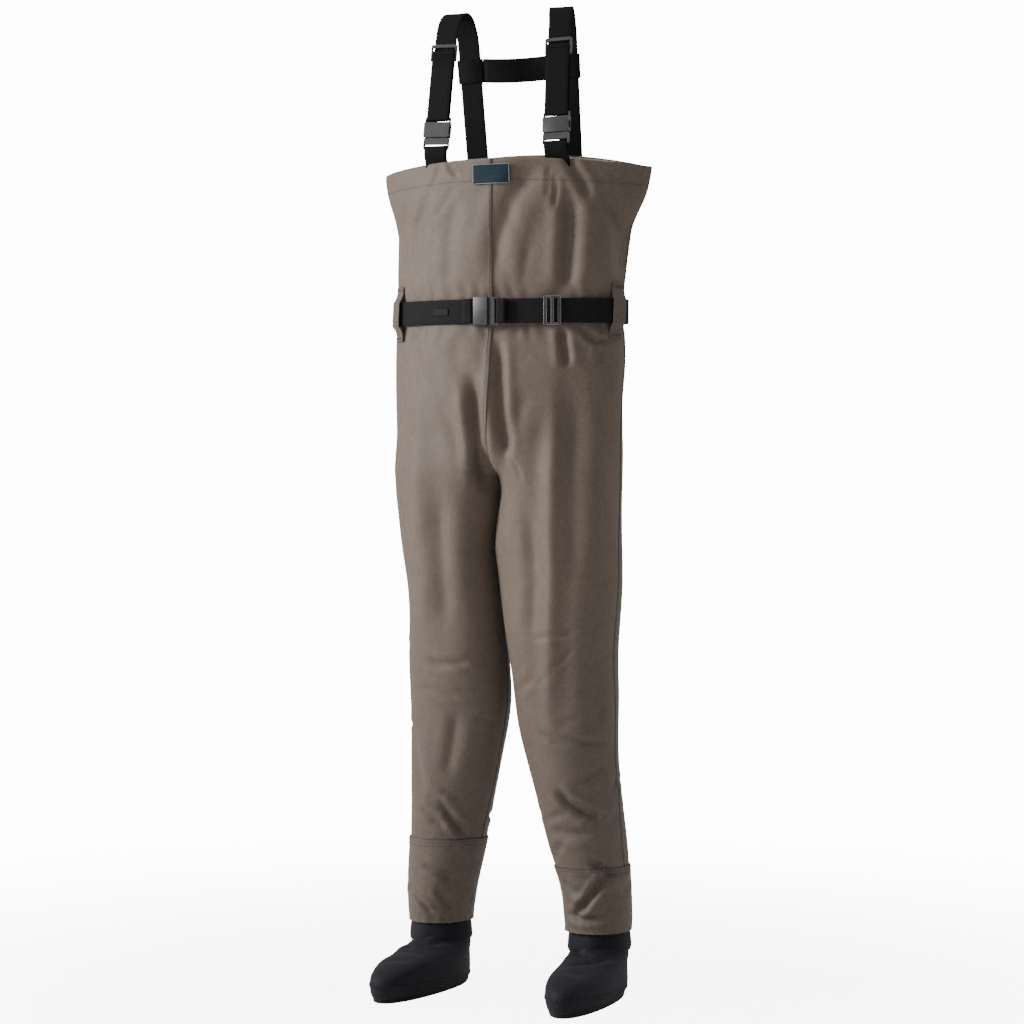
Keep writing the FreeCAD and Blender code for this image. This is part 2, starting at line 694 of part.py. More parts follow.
def make_loops():
    """Fabric loops that carry the belt, and the bar tacks sewn across their ends."""
    tall, wide, thick = size("loop_tall") / 2, size("loop_wide"), size("loop_thick")
    pass_z, out = size("webbing_wide") / 2 + 3, size("belt_clear") + 6.2
    sewn_z = tall - 12
    tacks = []
    for name, place in loop_places().items():
        low_y = size("seat_step") if name == "back" else 2.2
        profile = [(-tall, low_y), (-sewn_z, low_y), (-pass_z, out), (pass_z, out), (sewn_z, 5.2), (tall, 5.2)]
        inner = [Vector(-wide / 2, -y, z) for z, y in profile]
        outer = [Vector(-wide / 2, -y - thick, z) for z, y in reversed(profile)]
        ends = inner + outer
        loop = Part.Face(Part.makePolygon(ends + ends[:1])).extrude(Vector(wide, 0, 0))
        feature(f"belt_loop_{name}", loop, place)
        for z, y in (profile[0], profile[-1]):
            middle_z = z - math.copysign(6, z)
            low = y + thick
            tack = slab((-wide / 2 + 2, -low - size("stitch_thick"), middle_z - 1),
                        (wide / 2 - 2, -low, middle_z + 1))
            tacks.append(tack.transformGeometry(place.toMatrix()))
    feature("bar_tacks", Part.makeCompound(tacks))


def make_chest_label(outer, inner):
    """The woven label at the middle of the rim, following the fabric."""
    left, top = -27, size("rim_side_z") + 3
    window = slab((left, -FAR, top - size("label_tall")), (left + size("label_wide"), 0, top))
    left_half = outer.cut(inner)
    feature("chest_label", left_half.common(window))


# ---------------------------------------------------------------- build and write

def build():
    """Make every sub-part."""
    fill_sheet()
    fabric, gap, lining = size("fabric_thick"), size("lining_gap"), size("lining_thick")
    make_garment(garment_loft(0), garment_loft(-fabric))
    layer = fabric + gap
    make_linings(garment_loft(-layer), garment_loft(-layer - lining))
    deep = layer + lining + gap
    make_ankle_linings(garment_loft(-deep), garment_loft(-deep - lining))
    make_chest_label(garment_loft(gap + size("label_thick")), garment_loft(gap))
    make_feet()
    for side, sign in SIDES.items():
        make_shoulder(side, sign)
    make_cross_strap()
    make_belt()
    make_loops()
    doc.recompute()


def sub_parts():
    """The objects that are sub-parts: bodies, and shapes that stand on their own."""
    return [item for item in doc.Objects
            if item.TypeId == "PartDesign::Body" or item.TypeId == "Part::Feature"]


def set_down():
    """Move the whole object so that its origin is under the middle of its footprint."""
    move = Placement(Vector(0, size("stand_y"), 0), Rotation())
    for item in sub_parts():
        item.Placement = move.multiply(item.Placement)
    doc.recompute()


def check_and_write():
    """Stop on anything that failed, then write one STEP file per sub-part."""
    for item in doc.Objects:
        if "Invalid" in item.State or "Error" in item.State:
            raise RuntimeError(f"{item.Label} failed")
    os.makedirs("parts", exist_ok=True)
    for item in sub_parts():
        shape = item.Shape
        if shape.isNull() or not shape.isValid() or shape.Volume <= 0:
            raise RuntimeError(f"{item.Label} has no valid shape")
        shape.exportStep(f"parts/{item.Label}.step")
        print(f"{item.Label}: {len(shape.Solids)} solid(s), {shape.Volume:.0f} mm3")


build()
set_down()
check_and_write()
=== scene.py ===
import json
import math
import random

import bmesh
import bpy
import numpy as np
from mathutils import Matrix, Vector

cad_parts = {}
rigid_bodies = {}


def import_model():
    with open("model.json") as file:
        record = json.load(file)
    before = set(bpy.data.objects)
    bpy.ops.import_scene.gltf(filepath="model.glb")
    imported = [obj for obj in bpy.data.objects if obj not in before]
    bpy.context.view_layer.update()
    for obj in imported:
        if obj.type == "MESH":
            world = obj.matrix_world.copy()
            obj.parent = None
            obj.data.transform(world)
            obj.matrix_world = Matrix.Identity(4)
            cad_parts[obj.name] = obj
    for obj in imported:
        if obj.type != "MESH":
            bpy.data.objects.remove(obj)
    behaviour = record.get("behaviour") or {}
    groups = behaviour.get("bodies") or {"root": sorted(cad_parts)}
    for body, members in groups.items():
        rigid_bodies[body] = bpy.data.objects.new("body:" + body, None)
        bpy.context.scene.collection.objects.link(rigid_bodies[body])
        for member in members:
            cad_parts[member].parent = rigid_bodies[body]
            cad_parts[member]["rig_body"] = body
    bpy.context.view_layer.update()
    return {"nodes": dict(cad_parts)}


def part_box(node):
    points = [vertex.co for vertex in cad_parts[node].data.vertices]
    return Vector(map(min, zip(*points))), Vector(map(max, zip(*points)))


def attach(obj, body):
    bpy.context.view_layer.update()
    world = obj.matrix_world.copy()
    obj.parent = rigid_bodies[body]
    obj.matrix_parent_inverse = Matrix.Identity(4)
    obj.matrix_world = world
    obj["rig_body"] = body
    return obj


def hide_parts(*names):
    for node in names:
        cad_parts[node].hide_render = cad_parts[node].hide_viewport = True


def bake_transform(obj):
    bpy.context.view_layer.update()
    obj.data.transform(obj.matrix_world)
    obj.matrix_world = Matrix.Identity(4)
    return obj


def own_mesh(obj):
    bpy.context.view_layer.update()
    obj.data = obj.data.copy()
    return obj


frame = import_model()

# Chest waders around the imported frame. Metres, +Z up, the chest faces -Y.
# "left" and "right" are the wearer's: the left side is +X.

SIDES = {"left": 1, "right": -1}
FABRIC = 0.0012
UP, OUT = Vector((0, 0, 1)), Vector((0, -1, 0))


def middle(node):
    """The middle of a CAD node's box."""
    low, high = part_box(node)
    return (low + high) / 2


ANKLE = middle("neoprene_cuff_left")
FRONT_SHIFT = ANKLE.y - 0.030
BELT_Z = middle("belt_socket").z
GUARD_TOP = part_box("gravel_guard_left")[1].z
GUARD_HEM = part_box("gravel_guard_left")[0].z
SPLIT_Z = 0.60


# ---------------------------------------------------------------- garment outline

# Height, outer and inner x, x of the ridge, front y, back y, y of the side, pointedness
# of the front. The y values count from the plane of the rim's two side corners.
LEVELS = [
    (0.084, 0.188, 0.086, 0.137, -0.024, 0.084, 0.030, 1.00),
    (0.104, 0.188, 0.086, 0.137, -0.024, 0.084, 0.030, 1.00),
    (0.150, 0.187, 0.082, 0.134, -0.028, 0.084, 0.028, 1.00),
    (0.243, 0.183, 0.061, 0.122, -0.043, 0.079, 0.018, 1.00),
    (0.364, 0.174, 0.030, 0.102, -0.066, 0.074, 0.004, 1.00),
    (0.500, 0.172, 0.008, 0.091, -0.084, 0.067, -0.008, 0.95),
    (0.640, 0.178, 0.003, 0.093, -0.088, 0.064, -0.012, 0.90),
    (0.735, 0.184, 0.002, 0.093, -0.092, 0.068, -0.012, 0.90),
    (0.788, 0.186, 0.002, 0.085, -0.095, 0.073, -0.011, 0.90),
    (0.820, 0.187, 0.000, 0.072, -0.097, 0.077, -0.010, 0.90),
    (0.852, 0.188, -0.032, 0.048, -0.098, 0.080, -0.010, 0.95),
    (0.885, 0.189, -0.085, 0.020, -0.099, 0.082, -0.009, 1.00),
    (0.930, 0.191, -0.150, 0.004, -0.100, 0.082, -0.008, 1.00),
    (1.000, 0.193, -0.190, 0.000, -0.099, 0.076, -0.006, 1.00),
    (1.075, 0.192, -0.192, 0.000, -0.097, 0.064, -0.004, 1.00),
    (1.190, 0.197, -0.197, 0.000, -0.104, 0.048, -0.002, 1.15),
    (1.298, 0.222, -0.222, 0.000, -0.105, 0.033, 0.000, 1.25),
    (1.345, 0.227, -0.227, 0.000, -0.106, 0.030, 0.000, 1.28),
]
CROTCH_Z = 0.820
# How far the line between the legs stands towards -X at most, and from, at and up to which height.
LEG_LINE_ASIDE = 0.022
ASIDE_LOW, ASIDE_MOST, ASIDE_HIGH = 0.45, 0.70, 0.82
# How far the hanging garment leans along X at each height.
LEAN = [(0.084, -0.008), (0.243, -0.006), (0.364, -0.004), (0.500, 0.000), (0.640, 0.000), (0.735, -0.005),
        (0.850, -0.010), (1.000, -0.010), (1.075, -0.008), (1.190, -0.003), (1.298, 0.000), (1.345, 0.000)]
RIM_SIDE_Z, RIM_FRONT_Z, RIM_BACK_Z = 1.299, 1.311, 1.328
RIM_HALF_WIDE = 0.222
RIM_BLEND_Z = 1.20


def monotone(heights, values):
    """A smooth curve through the values that never overshoots them, as a function of height."""
    steps = np.diff(heights)
    slopes = np.diff(values) / steps
    tangents = np.zeros(len(values))
    for i in range(1, len(values) - 1):
        if slopes[i - 1] * slopes[i] > 0:
            first, last = 2 * steps[i] + steps[i - 1], steps[i] + 2 * steps[i - 1]
            tangents[i] = (first + last) / (first / slopes[i - 1] + last / slopes[i])

    def at(height):
        i = np.clip(np.searchsorted(heights, height) - 1, 0, len(steps) - 1)
        t = np.clip((height - heights[i]) / steps[i], 0, 1)
        return ((1 + 2 * t) * (1 - t) ** 2 * values[i] + t * (1 - t) ** 2 * steps[i] * tangents[i]
                + t * t * (3 - 2 * t) * values[i + 1] + t * t * (t - 1) * steps[i] * tangents[i + 1])
    return at


def smooth(value):
    """Smoothstep from 0 to 1."""
    t = np.clip(value, 0, 1)
    return t * t * (3 - 2 * t)


def hump(value, low, top, high):
    """0 below low and above high, 1 at top."""
    return smooth((value - low) / (top - low)) * smooth((high - value) / (high - top))


def curves(table):
    """A smooth curve through each column of a table whose first column is the height."""
    heights, *columns = np.array(table).T
    return [monotone(heights, column) for column in columns]


def paired(first, second):
    """Two number arrays brought to one shape."""
    return np.broadcast_arrays(np.asarray(first, float), np.asarray(second, float))


def unit(vectors):
    """The vectors at length 1. A vector of length 0 comes out as NaN, as it does above the rim."""
    return vectors / np.linalg.norm(vectors, axis=-1, keepdims=True)


CURVES = curves(LEVELS)
lean, = curves(LEAN)


def outline(z, turn, sign):
    """Point of the left (sign 1) or right garment half. Turn 0 is the front ridge, 1 the side,
    2 the back, 3 or -1 the inseam."""
    outer, inner, ridge, front, back, side, point = [curve(z) for curve in CURVES]
    inner = inner - sign * LEG_LINE_ASIDE * hump(z, ASIDE_LOW, ASIDE_MOST, ASIDE_HIGH)
    aside = lean(z)
    angle = turn * math.pi / 2
    outside = (turn >= 0) & (turn <= 2)
    facing_front = np.cos(angle) > 0
    power = np.where(facing_front, point, 1.0)
    along = np.abs(np.sin(angle)) ** power
    across = np.abs(np.cos(angle)) ** power
    x = ridge + np.where(outside, outer - ridge, inner - ridge) * along
    y = side + np.where(facing_front, front - side, back - side) * across
    rim = np.where(facing_front, RIM_FRONT_Z, RIM_BACK_Z)
    rim = RIM_SIDE_Z + (rim - RIM_SIDE_Z) * np.clip(1 - (x / RIM_HALF_WIDE) ** 2, 0, 1)
    lift = np.clip((z - RIM_BLEND_Z) / (LEVELS[-1][0] - RIM_BLEND_Z), 0, 1)
    z = np.where(z > RIM_BLEND_Z, RIM_BLEND_Z + (rim - RIM_BLEND_Z) * lift, z)
    return np.stack([sign * x + aside, y + FRONT_SHIFT, z], axis=-1)


def turn_limits(z):
    """How far a half's outline reaches past the front and the back ridge before it meets x = 0."""
    inner, ridge, point = CURVES[1](z), CURVES[2](z), CURVES[6](z)
    share = np.clip(ridge / np.maximum(ridge - inner, 1e-9), 0, 1)
    share = np.where(z <= CROTCH_Z, 1.0, share)
    reach_front = np.arcsin(share ** (1 / point)) / (math.pi / 2)
    reach_back = np.arcsin(share) / (math.pi / 2)
    return -reach_front, 2 + reach_back


# ---------------------------------------------------------------- folds in the fabric

# Each fold: points (x, z) on the front or back, depth (a negative depth stands out), half width.
FRONT_FOLDS = [
    ([(0.078, 1.306), (0.034, 1.245), (0.010, 1.180), (0.004, 1.120)], 0.0060, 0.014),
    ([(0.120, 1.262), (0.122, 1.236), (0.121, 1.190), (0.115, 1.098)], 0.0095, 0.0095),
    ([(0.112, 1.052), (0.112, 1.030), (0.117, 0.985)], 0.0070, 0.0060),
    ([(0.112, 1.318), (0.124, 1.300), (0.141, 1.270), (0.150, 1.240)], 0.0050, 0.0060),
    ([(0.100, 1.290), (0.101, 1.262), (0.099, 1.228)], 0.0030, 0.0035),
    ([(0.092, 1.300), (0.091, 1.270), (0.089, 1.245)], 0.0022, 0.0035),
    ([(-0.079, 1.312), (-0.070, 1.298), (-0.058, 1.284)], 0.0032, 0.0040),
    ([(-0.092, 1.310), (-0.098, 1.285), (-0.112, 1.262)], 0.0022, 0.0050),
    ([(-0.118, 1.269), (-0.136, 1.205), (-0.150, 1.140)], 0.0032, 0.0100),
    ([(-0.170, 1.250), (-0.176, 1.190), (-0.180, 1.120)], 0.0030, 0.0090),
    ([(-0.060, 1.255), (-0.072, 1.190), (-0.074, 1.115)], 0.0026, 0.0120),
    ([(0.176, 1.262), (0.186, 1.200), (0.188, 1.115)], 0.0060, 0.0120),
    ([(0.066, 1.220), (0.062, 1.180), (0.058, 1.110)], 0.0012, 0.0110),
    ([(0.138, 1.052), (0.147, 1.034), (0.158, 1.027), (0.176, 1.029)], 0.0050, 0.0045),
    ([(0.163, 1.018), (0.163, 0.992)], 0.0040, 0.0050),
    ([(-0.150, 1.050), (-0.140, 1.010), (-0.122, 0.960)], 0.0030, 0.0080),
    ([(-0.066, 1.050), (-0.058, 1.000), (-0.044, 0.930)], 0.0014, 0.0120),
    ([(-0.036, 0.985), (-0.030, 0.940), (-0.026, 0.890), (-0.023, 0.844), (-0.027, 0.792)], 0.0130, 0.0095),
    ([(0.008, 1.040), (0.012, 0.990), (0.016, 0.930), (0.022, 0.875), (0.020, 0.830)], 0.0085, 0.0075),
    ([(0.060, 0.960), (0.040, 0.900), (0.026, 0.850)], 0.0022, 0.0110),
    ([(-0.090, 0.940), (-0.060, 0.880), (-0.040, 0.830)], 0.0025, 0.0110),
    ([(0.096, 0.990), (0.099, 0.850), (0.098, 0.690), (0.090, 0.470), (0.088, 0.380)], -0.0050, 0.0120),
    ([(0.130, 0.960), (0.128, 0.820), (0.132, 0.640)], 0.0040, 0.0140),
    ([(0.060, 0.780), (0.064, 0.660), (0.062, 0.560)], 0.0040, 0.0130),
    ([(-0.130, 0.960), (-0.134, 0.760), (-0.130, 0.560)], -0.0035, 0.0160),
    ([(-0.092, 0.800), (-0.090, 0.680), (-0.086, 0.580)], 0.0045, 0.0140),
    ([(-0.120, 0.532), (-0.098, 0.524), (-0.046, 0.527)], 0.0035, 0.0055),
    ([(-0.135, 0.490), (-0.100, 0.478), (-0.062, 0.470)], 0.0022, 0.0060),
    ([(-0.070, 0.450), (-0.080, 0.400), (-0.096, 0.340)], 0.0035, 0.0090),
    ([(-0.116, 0.306), (-0.100, 0.286), (-0.086, 0.262), (-0.074, 0.246)], 0.0062, 0.0060),
    ([(-0.150, 0.292), (-0.124, 0.272), (-0.100, 0.262)], 0.0040, 0.0060),
    ([(-0.160, 0.420), (-0.150, 0.350), (-0.140, 0.300)], 0.0030, 0.0100),
    ([(-0.186, 0.168), (-0.162, 0.146), (-0.131, 0.118)], 0.0055, 0.0042),
    ([(-0.128, 0.166), (-0.118, 0.145), (-0.104, 0.120)], 0.0035, 0.0045),
    ([(-0.150, 0.200), (-0.120, 0.186), (-0.096, 0.182)], 0.0040, 0.0060),
    ([(0.070, 0.424), (0.100, 0.412), (0.168, 0.406)], 0.0038, 0.0055),
    ([(0.090, 0.335), (0.112, 0.312), (0.135, 0.298), (0.160, 0.287)], 0.0080, 0.0065),
    ([(0.080, 0.270), (0.105, 0.262), (0.140, 0.262)], 0.0045, 0.0070),
    ([(0.138, 0.222), (0.158, 0.206), (0.180, 0.190)], 0.0060, 0.0055),
    ([(0.172, 0.208), (0.154, 0.186), (0.132, 0.156), (0.108, 0.128)], 0.0080, 0.0052),
    ([(0.088, 0.136), (0.120, 0.127), (0.160, 0.129)], 0.0045, 0.0045),
    ([(0.092, 0.190), (0.108, 0.172), (0.128, 0.168)], 0.0035, 0.0060),
]
BACK_FOLDS = [
    ([(-0.080, 1.250), (-0.074, 1.180), (-0.070, 1.110)], 0.0040, 0.0100),
    ([(0.094, 1.262), (0.088, 1.190), (0.086, 1.112)], 0.0050, 0.0090),
    ([(0.010, 1.240), (0.006, 1.170), (0.010, 1.112)], 0.0030, 0.0110),
    ([(-0.150, 1.240), (-0.152, 1.180), (-0.150, 1.110)], 0.0040, 0.0100),
    ([(-0.120, 1.048), (-0.110, 0.990), (-0.096, 0.930)], 0.0040, 0.0090),
    ([(0.100, 1.048), (0.104, 0.995), (0.098, 0.940)], 0.0040, 0.0080),
    ([(0.150, 0.900), (0.100, 0.872), (0.040, 0.846)], 0.0065, 0.0100),
    ([(-0.150, 0.890), (-0.100, 0.862), (-0.040, 0.846)], 0.0065, 0.0100),
    ([(0.140, 0.820), (0.100, 0.800), (0.050, 0.786)], 0.0055, 0.0100),
    ([(-0.145, 0.826), (-0.100, 0.806), (-0.050, 0.790)], 0.0050, 0.0100),
    ([(0.150, 0.545), (0.100, 0.528), (0.050, 0.540)], 0.0060, 0.0080),
    ([(-0.150, 0.540), (-0.100, 0.526), (-0.050, 0.536)], 0.0060, 0.0080),
    ([(0.146, 0.486), (0.100, 0.474), (0.056, 0.484)], 0.0050, 0.0075),
    ([(-0.148, 0.482), (-0.104, 0.470), (-0.060, 0.480)], 0.0055, 0.0075),
    ([(0.160, 0.330), (0.126, 0.312), (0.090, 0.318)], 0.0045, 0.0080),
    ([(-0.160, 0.320), (-0.124, 0.304), (-0.092, 0.312)], 0.0045, 0.0080),
    ([(0.168, 0.170), (0.136, 0.154), (0.104, 0.160)], 0.0050, 0.0065),
    ([(-0.168, 0.166), (-0.134, 0.150), (-0.104, 0.158)], 0.0050, 0.0065),
]


def stroke(x, z, points, width):
    """How strongly a stroke through the points is felt at x, z: 1 on it, with softened ends, and
    below 0 just beside it, where the fabric stands up."""
    strength = np.zeros(np.shape(x))
    near = np.full(np.shape(x), 1e9)
    lengths = [math.dist(a, b) for a, b in zip(points, points[1:])]
    total, passed = sum(lengths), 0
    for (ax, az), (bx, bz), length in zip(points, points[1:], lengths):
        t = np.clip(((x - ax) * (bx - ax) + (z - az) * (bz - az)) / length ** 2, 0, 1)
        distance = np.hypot(x - ax - t * (bx - ax), z - az - t * (bz - az))
        along = (passed + t * length) / total
        ends = smooth(along * 3.5 + 0.15) * smooth((1 - along) * 3.5 + 0.15)
        strength = np.where(distance < near, ends, strength)
        near = np.minimum(near, distance)
        passed += length
    core = np.exp(-(near / width) ** 2)
    shoulder = np.exp(-((near - 2.3 * width) / (1.1 * width)) ** 2)
    return strength * (core - 0.38 * shoulder)


def wobble(points, size, seed):
    """Smooth repeatable noise, about -1 to 1, whose bumps are this size across."""
    rng = np.random.default_rng(seed)
    total = np.zeros(points.shape[:-1])
    for _ in range(7):
        direction = rng.normal(size=3)
        direction /= np.linalg.norm(direction)
        total += np.sin(points @ direction * (2 * math.pi / size) + rng.uniform(0, 2 * math.pi))
    return total / 3.2


# Random little folds of each half: how many, lowest and highest place, slope of their line,
# depth, half width and half length.
SMALL_FOLDS = [
    (18, 1.10, 1.27, 0.00, 0.0013, 0.006, 0.050),
    (20, 0.62, 1.04, 0.15, 0.0014, 0.008, 0.060),
    (16, 0.40, 0.60, 1.10, 0.0019, 0.006, 0.035),
    (30, 0.12, 0.36, 1.10, 0.0026, 0.006, 0.030),
]


def small_folds(seed, count, low, high, slope, depth, width, reach):
    """Random little folds in (arc, z) of one half: their line runs close to the given slope."""
    rng = random.Random(seed)
    found = []
    for _ in range(count):
        arc, z = rng.uniform(-0.1, 0.62), rng.uniform(low, high)
        angle = slope + rng.uniform(-0.45, 0.45)
        half = reach * rng.uniform(0.5, 1)
        ends = [(arc + k * half * math.sin(angle) + rng.uniform(-0.1, 0.1) * half,
                 z + k * half * math.cos(angle)) for k in (-1, 0, 1)]
        found.append((ends, depth * rng.uniform(0.4, 1), width * rng.uniform(0.6, 1.3)))
    return found


# How deep the belt and the hem's elastic draw the fabric in, and how deep its gathers there are.
BELT_PINCH, BELT_GATHER = 0.0045, 0.0009
HEM_PINCH, HEM_GATHER = 0.0012, 0.0007
UNDER_BELT, BESIDE_BELT = 0.018, 0.030


def pinched(depth, position, arc):
    """The fold depth with the belt's pinch, gathered beside the belt and kept off it underneath."""
    away = np.abs(position[..., 2] - BELT_Z)
    near_belt = np.exp(-(away / BESIDE_BELT) ** 2)
    beside_belt = np.exp(-((away - BESIDE_BELT) / 0.016) ** 2)
    gathers = np.sin(arc * 230 + wobble(position, 0.09, 8) * 2.5)
    depth = depth + (BELT_PINCH * near_belt + BELT_GATHER * gathers * beside_belt)
    return np.where(away < UNDER_BELT, np.clip(depth, 0.0002, 0.010), depth)


def hem_gathers(position, arc):
    """How deep the hem's elastic draws the fabric in, in uneven little gathers."""
    at_hem = smooth((GUARD_HEM + 0.030 - position[..., 2]) / 0.026)
    uneven = 0.6 + 0.4 * wobble(position, 0.04, 10)
    gathers = np.sin(arc * 420 + wobble(position, 0.05, 9) * 3.5) * uneven
    return at_hem * (HEM_PINCH + HEM_GATHER * gathers)


def crumple(position, normal, arc, z, sign):
    """How far the fabric is pushed in along its normal: folds, waist pinch and stacking."""
    x, local_z = position[..., 0], position[..., 2]
    depth = np.zeros(x.shape)
    for folds, facing in ((FRONT_FOLDS, -1), (BACK_FOLDS, 1)):
        shown = smooth(0.15 + facing * normal[..., 1] * 1.6)
        for points, deep, width in folds:
            depth += deep * shown * stroke(x, local_z, points, width)
    seam_guard = smooth((np.abs(x) - 0.006) / 0.02)
    seam_guard = np.where(z < CROTCH_Z, 1.0, seam_guard)
    seed = 11 if sign > 0 else 23
    for number, group in enumerate(SMALL_FOLDS):
        for points, deep, width in small_folds(seed + number, *group):
            depth += deep * seam_guard * stroke(arc, z, points, width)
    swell = wobble(position, 0.16, 5) * 0.0028 + wobble(position * [1, 1, 0.45], 0.06, 6) * 0.0010
    depth += swell * smooth((RIM_SIDE_Z - local_z) / 0.03 + 0.2)
    return pinched(depth, position, arc) + hem_gathers(position, arc)


# ---------------------------------------------------------------- the garment's surface

def quarter_length(z):
    """About how far it is around a half from the front ridge to the side."""
    outer, _, ridge, front, _, side, _ = [curve(z) for curve in CURVES]
    return math.pi / 2 * np.sqrt(((outer - ridge) ** 2 + (side - front) ** 2) / 2)


def surface(z, turn, sign, lift=0.0):
    """Points and outward normals of the folded fabric, lifted off it by lift."""
    z, turn = paired(z, turn)
    step_turn, step_z = 0.004, 0.001
    around = outline(z, turn + step_turn, sign) - outline(z, turn - step_turn, sign)
    upward = outline(z + step_z, turn, sign) - outline(z - step_z, turn, sign)
    normal = unit(np.cross(around, upward) * sign)
    base = outline(z, turn, sign)
    depth = crumple(base, normal, turn * quarter_length(z), z, sign)
    points = base + normal * (lift - depth)[..., None]
    on_middle = (z > CROTCH_Z) & (np.abs(base[..., 0] - lean(z)) < 1e-5)
    points[..., 0] = np.where(on_middle, lean(z), points[..., 0])
    return points, normal


def added(name, data):
    """A new object in the scene."""
    new = bpy.data.objects.new(name, data)
    bpy.context.scene.collection.objects.link(new)
    return new


def settle(piece, body, slot, *nodes):
    """The piece rides a body and stands for these CAD nodes; its slot argument is not used."""
    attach(piece, body)
    if nodes:
        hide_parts(*nodes)


def grid_object(name, points, uvs, materials, normals=None, slots=None):
    """A mesh of quads over a grid of points, smooth, with its doubled edges merged. Given normals
    are used for its shading, and given slots are the material of each row of quads."""
    rows, columns = points.shape[:2]
    index = np.arange(rows * columns).reshape(rows, columns)
    quads = np.stack([index[:-1, :-1], index[1:, :-1], index[1:, 1:], index[:-1, 1:]], axis=-1)
    mesh = bpy.data.meshes.new(name)
    mesh.from_pydata(points.reshape(-1, 3).tolist(), [], quads.reshape(-1, 4).tolist())
    layer = mesh.uv_layers.new(name="UVMap")
    loops = np.array([loop.vertex_index for loop in mesh.loops])
    layer.data.foreach_set("uv", uvs.reshape(-1, 2)[loops].ravel())
    if normals is not None:
        mesh.attributes.new("shading", "FLOAT_VECTOR", "POINT").data.foreach_set("vector", normals.ravel())
    if slots is not None:
        mesh.polygons.foreach_set("material_index", np.repeat(slots, columns - 1))
    work = bmesh.new()
    work.from_mesh(mesh)
    bmesh.ops.remove_doubles(work, verts=work.verts, dist=1e-5)
    work.to_mesh(mesh)
    work.free()
    mesh.polygons.foreach_set("use_smooth", [True] * len(mesh.polygons))
    if normals is not None:
        kept = np.zeros(len(mesh.vertices) * 3)
        mesh.attributes["shading"].data.foreach_get("vector", kept)
        mesh.attributes.remove(mesh.attributes["shading"])
        mesh.normals_split_custom_set_from_vertices(kept.reshape(-1, 3).tolist())
    for material in materials:
        mesh.materials.append(material)
    return added(name, mesh)


def thickened(piece, thickness):
    """Give a sheet real thickness behind its face, lined with its last material."""
    shell = piece.modifiers.new("thickness", "SOLIDIFY")
    shell.thickness = thickness
    shell.offset = -1
    shell.material_offset = len(piece.data.materials) - 1
    shell.material_offset_rim = 0
    return piece


def patch(name, sign, z, turn, materials, lift=0.0, thickness=FABRIC):
    """Fabric over a grid of nominal heights and turns, with real thickness behind it."""
    z, turn = paired(z, turn)
    points, _ = surface(z, turn, sign, lift)
    uvs = np.stack([turn * quarter_length(z), z], axis=-1)
    if sign < 0:
        points, uvs = points[:, ::-1], uvs[:, ::-1]
    return thickened(grid_object(name, points, uvs, materials), thickness)


def skin(name, side, high, low, spacing, columns, materials, lift=0.0, open_end=None):
    """A whole garment half between two heights, with rows this far apart and this many columns.
    Its outer and inner face turn over at its ends. An open end is where another piece carries on."""
    sign = SIDES[side]
    rows = max(int((high - low) / spacing), 2)
    step = (high - low) / (rows - 1)
    z = (high + step - step * np.arange(rows + 2))[:, None]
    start, end = turn_limits(z)
    turn = start + (end - start) * np.linspace(0, 1, columns)[None, :]
    points, _ = surface(z, turn, sign, lift)
    uvs = np.stack(np.broadcast_arrays(turn * quarter_length(z), z), axis=-1)
    if sign < 0:
        points, uvs = points[:, ::-1], uvs[:, ::-1]
    normals = unit(np.cross(*np.gradient(points, axis=(0, 1))))
    points, uvs, normals = points[1:-1], uvs[1:-1], normals[1:-1]
    outer = (points, uvs, normals)
    inner = ((points - normals * FABRIC)[::-1], uvs[::-1], -normals[::-1])
    outside, lining = [0] * (rows - 1), [len(materials) - 1] * (rows - 1)
    if open_end == "low":
        layers, slots = [inner, outer], lining + [0] + outside
    else:
        layers, slots = [outer, inner], outside + [0] + lining
    if open_end is None:
        layers.append((points[:1], uvs[:1], normals[:1]))
        slots.append(0)
    points, uvs, normals = [np.concatenate(parts) for parts in zip(*layers)]
    return grid_object(name, points, uvs, materials, normals, slots)


# ---------------------------------------------------------------- materials

def srgb(red, green, blue):
    """A linear colour from 0-255 sRGB values."""
    def linear(value):
        value /= 255
        return value / 12.92 if value <= 0.04045 else ((value + 0.055) / 1.055) ** 2.4
    return (linear(red), linear(green), linear(blue), 1.0)


def eased(tree, value, start, end, low, high):
    """A socket that goes smoothly from low to high while the value goes from start to end."""
    node = tree.nodes.new("ShaderNodeMapRange")
    node.interpolation_type = "SMOOTHSTEP"
    for socket, number in (("From Min", start), ("From Max", end), ("To Min", low), ("To Max", high)):
        node.inputs[socket].default_value = number
    tree.links.new(value, node.inputs["Value"])
    return node.outputs["Result"]


